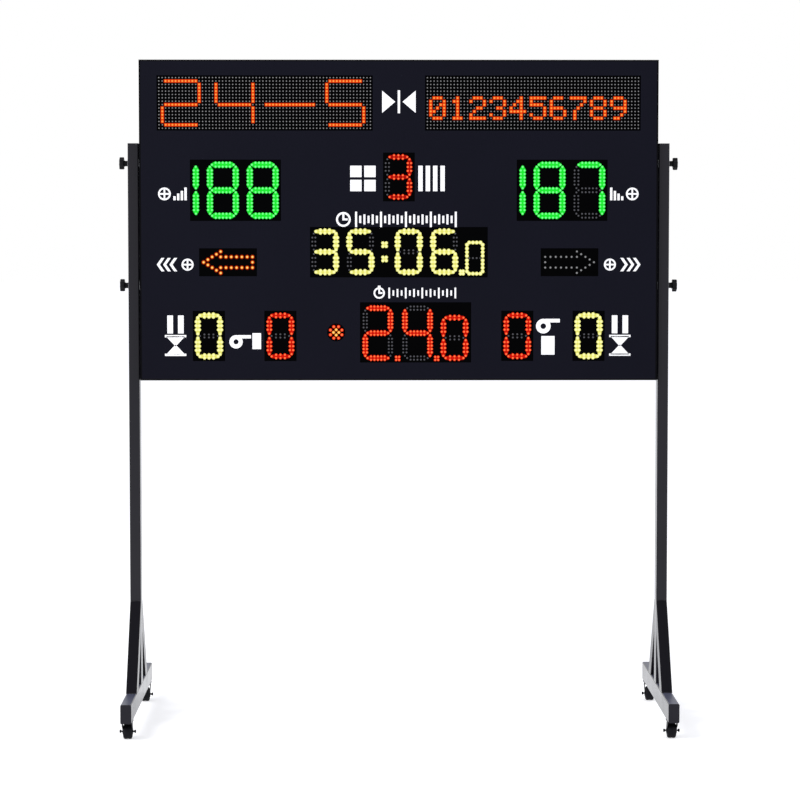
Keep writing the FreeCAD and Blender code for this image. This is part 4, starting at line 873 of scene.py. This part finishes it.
def drawScores(marks):
    # A ball at the outer side, and bars that rise towards the middle of the board
    score = {"left": -676, "right": 674, "level": 1590}
    ball = {"offset": 24, "radius": 19, "line": 5}
    bars = {"heights": (12, 20, 28, 38), "offset": 6, "step": 11, "wide": 7}
    for x, side in ((score["left"], -1), (score["right"], 1)):
        marks.at(x, score["level"])
        marks.ball(side * ball["offset"], ball["radius"], ball["line"])
        for index, tall in enumerate(bars["heights"]):
            along = bars["offset"] + index * bars["step"]
            marks.bar(-side * along, (tall - max(bars["heights"])) / 2, bars["wide"], tall)


def drawPeriod(marks):
    # Four squares on the left of the figure, and four bars on its right
    squares = {"middle": (-107.5, 1636), "offset": 21, "size": 34}
    bars = {"middle": (97.5, 1636), "count": 4, "step": 22, "wide": 13, "tall": 76}
    marks.at(*squares["middle"])
    for sideX in (-1, 1):
        for sideZ in (-1, 1):
            x, z = sideX * squares["offset"], sideZ * squares["offset"]
            marks.bar(x, z, squares["size"], squares["size"])
    marks.at(*bars["middle"])
    for index in range(bars["count"]):
        marks.bar((index - (bars["count"] - 1) / 2) * bars["step"], 0, bars["wide"], bars["tall"])


def drawTimes(marks):
    # A clock with a row of ticks for the game, and a stopwatch with one for the shot
    game = {"middle": (-8, 1514), "clock": (-158, 22), "ticks": (-120, 178), "line": 6}
    shot = {"middle": (47, 1294), "clock": (-106, 17), "ticks": (-76, 122), "line": 5}
    button = (-106, 19, 8, 6)
    heights = ([46, 22, 30, 22, 30, 22] * 4 + [46], [32, 16, 24, 16] * 4 + [32])
    for time, ticks in zip((game, shot), heights):
        marks.at(*time["middle"])
        marks.clock(*time["clock"], time["line"])
        marks.scale(*time["ticks"], ticks, time["line"])
    marks.bar(*button)


def drawPossession(marks):
    # A ball behind three chevrons that point outwards
    possession = {"offset": 668, "level": 1379}
    ball = {"offset": 36, "radius": 18, "line": 5}
    chevrons = {"count": 3, "start": 4, "step": 19}
    for side in (-1, 1):
        marks.at(side * possession["offset"], possession["level"])
        marks.ball(-side * ball["offset"], ball["radius"], ball["line"])
        for index in range(chevrons["count"]):
            marks.chevron(side * (chevrons["start"] + index * chevrons["step"]), side)


def drawTimeouts(marks):
    # Two bars over an hourglass
    bars = {"level": 1200, "offset": 16, "wide": 17, "tall": 54}
    glass = {"level": 1137, "half": 29, "rise": 28, "tip": 3, "wide": 64, "line": 7}
    for x in (-669, 663):
        marks.at(x, bars["level"])
        for side in (-1, 1):
            marks.bar(side * bars["offset"], 0, bars["wide"], bars["tall"])
        marks.at(x, glass["level"])
        for up in (-1, 1):
            end = up * glass["rise"]
            marks.shape([(-glass["half"], end), (glass["half"], end), (0, -up * glass["tip"])])
            marks.bar(0, end, glass["wide"], glass["line"])


def drawFouls(marks):
    # A whistle and a card: side by side on the left, one over the other on the right
    left = {"middle": (-458, 1152), "whistle": (-20, 0, 20), "card": (32, -2, 26, 48)}
    right = {"middle": (447, 1199), "whistle": (-3, 0, 22), "card": (0, -62, 40, 56)}
    for fouls in (left, right):
        marks.at(*fouls["middle"])
        marks.whistle(*fouls["whistle"])
        marks.bar(*fouls["card"])


def makeMarks():
    marks = Marks()
    for draw in (drawVersus, drawScores, drawPeriod, drawTimes, drawPossession, drawTimeouts, drawFouls):
        draw(marks)
    bmesh.ops.recalc_face_normals(marks.mesh, faces=marks.mesh.faces)
    makePiece("panelMarks", marks.mesh, "ink", "base", "panel")


makeMarks()
print("marks drawn")


# Castors: a tyre on its hub, and turned axle nuts

def makeTyre(name, outer, half, rim, place):
    # Rounded shoulders and a groove round the middle of the tread
    tyre = {
        "shoulder": 6 * mm, "bead": 1.2 * mm, "grooveTop": 3.4 * mm, "grooveFoot": 2.4 * mm,
        "grooveDepth": 0.9 * mm,
    }
    shoulder = tyre["shoulder"]
    side = [(rim, half - tyre["bead"]), (outer - shoulder, half)]
    for angle in (math.radians(25), math.radians(50), math.radians(75)):
        across, along = shoulder * math.sin(angle), shoulder * math.cos(angle)
        side.append((outer - shoulder + across, half - shoulder + along))
    side += [(outer, tyre["grooveTop"]), (outer - tyre["grooveDepth"], tyre["grooveFoot"])]
    look = ("castor_wheel", f"wheel_{name}", "castor_wheel")
    piece = turnedPiece(f"tyre_{name}", mirrored(side), 64, place, *look, closed=True)
    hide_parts(f"castor_wheel_{name}")


def makeHub(name, half, rim, place):
    # A raised boss round the bore, a recess, and a lip under the tyre
    hub = {
        "bore": 3.1 * mm, "boss": 6.5 * mm, "face": 0.2 * mm, "bevel": 0.8 * mm, "recess": 3 * mm,
        "lipFoot": 2.4 * mm, "lip": 1.6 * mm, "lipTop": 0.6 * mm, "seat": 0.2 * mm, "seatTop": 0.9 * mm,
    }
    boss, bevel, floor = hub["boss"], hub["bevel"], half - hub["recess"]
    top = half - hub["face"]
    side = [(hub["bore"], top), (boss - bevel, top), (boss, top - bevel), (boss + bevel, floor)]
    side += [(rim - hub["lipFoot"], floor), (rim - hub["lip"], half - hub["lipTop"])]
    side.append((rim + hub["seat"], half - hub["seatTop"]))
    look = ("castor_fork", f"wheel_{name}", "castor_wheel")
    turnedPiece(f"hub_{name}", mirrored(side), 48, place, *look, closed=True)


def makeWheel(name):
    rim = 15.5 * mm   # where the tyre sits on the hub
    low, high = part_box(f"castor_wheel_{name}")
    outer, half = (high.z - low.z) / 2, (high.x - low.x) / 2
    place = Matrix.Translation((low + high) / 2) @ alongX
    makeTyre(name, outer, half, rim, place)
    makeHub(name, half, rim, place)


def makeAxle(name):
    # A bolt with a flared nut standing off each leg on a narrow neck. The points are radii and distances
    # in millimetres, from the bolt's end for the nut and from the leg for the washer under it
    axle = {
        "nut": [(0, 0), (3.4, 0), (4.3, 0.3), (4.9, 1.0), (4.9, 2.6), (4.5, 3.6), (3.2, 5.2), (2.1, 6.2)],
        "washer": [(2.1, 1.3), (4.0, 1.1), (4.0, 0.1), (2.9, 0.1)],
    }
    low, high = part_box(f"castor_axle_{name}")
    forkLow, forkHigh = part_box(f"castor_fork_{name}")
    end, leg = (high.x - low.x) / 2, (forkHigh.x - forkLow.x) / 2
    side = [(radius * mm, end - inwards * mm) for radius, inwards in axle["nut"]]
    side += [(radius * mm, leg + rise * mm) for radius, rise in axle["washer"]]
    place = Matrix.Translation((low + high) / 2) @ alongX
    look = ("castor_axle", f"castor_{name}", "castor_axle")
    piece = turnedPiece(f"axle_{name}", mirrored(side), 20, place, *look)
    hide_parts(f"castor_axle_{name}")


for name in ("left_front", "left_rear", "right_front", "right_rear"):
    makeWheel(name)
    makeAxle(name)
print("castors dressed")


# Hand screws: a lobed knob with rounded rims on its hub, and a threaded stud

hubLength = 10.6 * mm   # from the washer to the knob's lobes


def screwPlace(name):
    # Where a knob sits on its washer, with +Z out of the post, and how far its stud reaches inwards
    gap = 0.2 * mm
    side = -1 if name.startswith("left") else 1
    washerLow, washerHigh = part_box(f"washer_{name}")
    low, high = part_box(f"hand_screw_{name}")
    centre = (washerLow + washerHigh) / 2
    seat = (washerHigh.x if side > 0 else -washerLow.x) + gap
    reach = seat - (low.x if side > 0 else -high.x)
    turn = Matrix.Rotation(side * math.pi / 2, 4, "Y")
    return Matrix.Translation((side * seat, centre.y, centre.z)) @ turn, reach


def makeKnob(name, place):
    # Seven lobes with rounded rims, dished in the middle
    knob = {
        "lobes": 7, "lobeSteps": 12, "radius": 19 * mm, "groove": 3.4 * mm, "length": 14 * mm,
        "rim": 2.4 * mm, "rimSteps": 4, "dish": 1.2 * mm,
    }
    near = 0.01 * mm      # places nearer than this are the same
    longest = 4 * mm      # every edge of a rim is shorter, and every spoke is longer
    steps = knob["lobes"] * knob["lobeSteps"]
    head = bmesh.new()
    bmesh.ops.create_circle(head, cap_ends=True, cap_tris=True, segments=steps, radius=1)
    for vertex in head.verts:
        angle = math.atan2(vertex.co.y, vertex.co.x)
        share = (1 - math.cos(knob["lobes"] * angle)) / 2
        vertex.co *= knob["radius"] - knob["groove"] * share
        vertex.co.z = hubLength
    extrude(head, head.faces[:], (0, 0, knob["length"]))
    rims = [
        edge for edge in head.edges
        if abs(edge.verts[0].co.z - edge.verts[1].co.z) < near and edge.calc_length() < longest
    ]
    bmesh.ops.bevel(
        head, geom=rims, offset=knob["rim"], segments=knob["rimSteps"], profile=0.5, affect="EDGES",
        material=-1,
    )
    for vertex in head.verts:
        if vertex.co.xy.length < near and vertex.co.z > hubLength + knob["length"] / 2:
            vertex.co.z -= knob["dish"]
    bmesh.ops.recalc_face_normals(head, faces=head.faces)
    head.transform(place)
    piece = makePiece(f"knob_{name}", head, "knob", f"knob_{name}", "knob", 30)
    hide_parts(f"hand_screw_{name}")


def makeKnobHub(name, place):
    # A round hub that flares into the lobes
    hub = {"radius": 8.4 * mm, "bevel": 0.6 * mm, "flare": 1.6 * mm, "flareLength": 3 * mm, "sunk": 0.6 * mm}
    radius, bevel, top = hub["radius"], hub["bevel"], hubLength + hub["sunk"]
    profile = [(0, 0), (radius - bevel, 0), (radius, bevel), (radius, hubLength - hub["flareLength"])]
    profile += [(radius + hub["flare"], top), (0, top)]
    turnedPiece(f"knobHub_{name}", profile, 36, place, "knob", f"knob_{name}", "knob")


def makeStud(name, place, reach):
    # A thread from the stud's bevelled tip up to its plain end, with its turns drawn as rings
    stud = {
        "radius": 5 * mm, "depth": 0.55 * mm, "pitch": 1.5 * mm, "bevel": 0.8 * mm, "tip": 1 * mm,
        "crestStart": 0.6 * mm, "crestEnd": 0.9 * mm, "rootStart": 1.4 * mm, "plain": 3 * mm,
        "sunk": 0.2 * mm,
    }
    crest, root = stud["radius"], stud["radius"] - stud["depth"]
    profile = [(0, -reach), (root - stud["bevel"], -reach), (root, -reach + stud["tip"])]
    for index in range(int((reach - stud["plain"]) / stud["pitch"])):
        start = -reach + stud["tip"] + index * stud["pitch"]
        profile += [(crest, start + stud["crestStart"]), (crest, start + stud["crestEnd"])]
        profile.append((root, start + stud["rootStart"]))
    profile += [(root, stud["sunk"]), (0, stud["sunk"])]
    turnedPiece(f"stud_{name}", profile, 20, place, "zinc", f"knob_{name}", "knob", 20)


for name in ("left_upper", "left_lower", "right_upper", "right_lower"):
    place, reach = screwPlace(name)
    makeKnob(name, place)
    makeKnobHub(name, place)
    makeStud(name, place, reach)
print("hand screws dressed")


# Weld beads across the joints of the stands, and the small screws of the rear covers

def makeWelds():
    # Each line of beads runs across a post or a brace, where it meets the beam or the post
    bead = {"radius": 2.0 * mm, "step": 2.2 * mm, "inset": 3.4 * mm}
    brace = {"toe": 67.65 * mm, "head": 99.87 * mm}   # its lengths on the beam and on the post
    mesh = bmesh.new()
    bmesh.ops.create_uvsphere(mesh, u_segments=8, v_segments=6, radius=bead["radius"])
    shape = shapeOf(mesh)
    welds = bmesh.new()
    for where in ("left", "right"):
        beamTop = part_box(f"{where}_foot_beam")[1].z
        postLow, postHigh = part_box(f"{where}_post")
        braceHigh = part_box(f"{where}_braces")[1]
        ends = [(postHigh.y, beamTop), (braceHigh.y, beamTop), (braceHigh.y - brace["toe"], beamTop)]
        ends += [(postHigh.y, braceHigh.z), (postHigh.y, braceHigh.z - brace["head"])]
        count = int((postHigh.x - postLow.x - 2 * bead["inset"]) / bead["step"])
        for side in (-1, 1):
            for y, z in ends:
                for index in range(count + 1):
                    x = postLow.x + bead["inset"] + index * bead["step"]
                    stamp(welds, shape, Vector((x, side * y, z)))
    bpy.data.meshes.remove(shape)
    makePiece("weldBeads", welds, "stand", "base", "stand", 80)


def makeScrewHeads():
    # Round heads with a recess, in rows along the top and bottom of each cover
    screw = {
        "radius": 3.4 * mm, "height": 1.5 * mm, "sunk": 0.2 * mm, "edge": 0.3 * mm, "count": 5,
        "inset": 8 * mm, "margin": 60 * mm, "domeShares": [(0.86, 0.75), (0.45, 1), (0.3, 0.55), (0, 0.4)],
    }
    radius, height = screw["radius"], screw["height"]
    profile = [(0, -screw["sunk"]), (radius, -screw["sunk"]), (radius, screw["edge"])]
    profile += [(radius * across, height * up) for across, up in screw["domeShares"]]
    mesh = bmesh.new()
    turned(mesh, profile, 12)
    shape = shapeOf(mesh)
    heads = bmesh.new()
    backwards = Matrix.Rotation(-math.pi / 2, 4, "X")
    for node in ("rear_cover_left", "rear_cover_right"):
        low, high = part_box(node)
        step = (high.x - low.x - 2 * screw["margin"]) / (screw["count"] - 1)
        for index in range(screw["count"]):
            x = low.x + screw["margin"] + index * step
            for z in (low.z + screw["inset"], high.z - screw["inset"]):
                stamp(heads, shape, Vector((x, high.y, z)), backwards)
    bpy.data.meshes.remove(shape)
    makePiece("coverScrewHeads", heads, "zinc", "base", "zinc")


makeWelds()
makeScrewHeads()
print("welds and screw heads made")


# Surroundings: a pale floor, a white world and soft lights

def seenRays(tree):
    # 1 for the rays that show the surroundings themselves: seen, mirrored or through glass
    path = addNode(tree, "ShaderNodeLightPath")
    seen = Socket(tree, path.outputs["Is Camera Ray"])
    for name in ("Is Glossy Ray", "Is Transmission Ray"):
        seen = seen.orElse(Socket(tree, path.outputs[name]))
    return seen


def makeFloor():
    floor = {"reach": 60.0, "colour": (0.92, 0.92, 0.92, 1), "roughness": 0.9, "specular": 0.1, "lift": 0.34}
    mesh = bmesh.new()
    bmesh.ops.create_grid(mesh, x_segments=1, y_segments=1, size=floor["reach"])
    data = bpy.data.meshes.new("floor")
    mesh.to_mesh(data)
    mesh.free()
    material = bpy.data.materials.new("floorPaint")
    material.use_nodes = True
    shader = material.node_tree.nodes["Principled BSDF"]
    shader.inputs["Base Color"].default_value = floor["colour"]
    shader.inputs["Roughness"].default_value = floor["roughness"]
    shader.inputs["Specular IOR Level"].default_value = floor["specular"]
    shader.inputs["Emission Color"].default_value = (1, 1, 1, 1)
    lift = seenRays(material.node_tree) * floor["lift"]
    material.node_tree.links.new(lift.output, shader.inputs["Emission Strength"])
    data.materials.append(material)
    thing = bpy.data.objects.new("floor", data)
    bpy.context.scene.collection.objects.link(thing)


def makeWorld():
    # White where it is seen, and a little cooler and darker where it lights
    sky = {"colour": (0.93, 0.94, 1.0, 1), "strength": 0.85, "seen": (1, 1, 1, 1)}
    world = bpy.data.worlds.new("surroundings")
    bpy.context.scene.world = world
    world.use_nodes = True
    tree = world.node_tree
    light = tree.nodes["Background"]
    light.inputs["Color"].default_value = sky["colour"]
    light.inputs["Strength"].default_value = sky["strength"]
    seen = addNode(tree, "ShaderNodeBackground", {}, {"Color": sky["seen"]})
    shares = {0: seenRays(tree), 1: light.outputs[0], 2: seen.outputs[0]}
    mix = addNode(tree, "ShaderNodeMixShader", {}, shares)
    tree.links.new(mix.outputs[0], tree.nodes["World Output"].inputs["Surface"])


def makeLight(name, place, aim, width, power):
    data = bpy.data.lights.new(name, "AREA")
    data.shape = "DISK"
    data.size = width
    data.energy = power
    light = bpy.data.objects.new(name, data)
    light.location = place
    light.rotation_euler = (Vector(aim) - Vector(place)).to_track_quat("-Z", "Y").to_euler()
    bpy.context.scene.collection.objects.link(light)


lights = {
    "keyLight": {"place": (-4.0, -4.5, 5.0), "aim": (0, 0, 1.2), "width": 3.0, "power": 260},
    "fillLight": {"place": (4.5, -3.5, 3.0), "aim": (0, 0, 1.0), "width": 3.5, "power": 40},
}
makeFloor()
makeWorld()
for name, light in lights.items():
    makeLight(name, **light)
bpy.context.scene.view_settings.view_transform = "Standard"
print("stage ready")
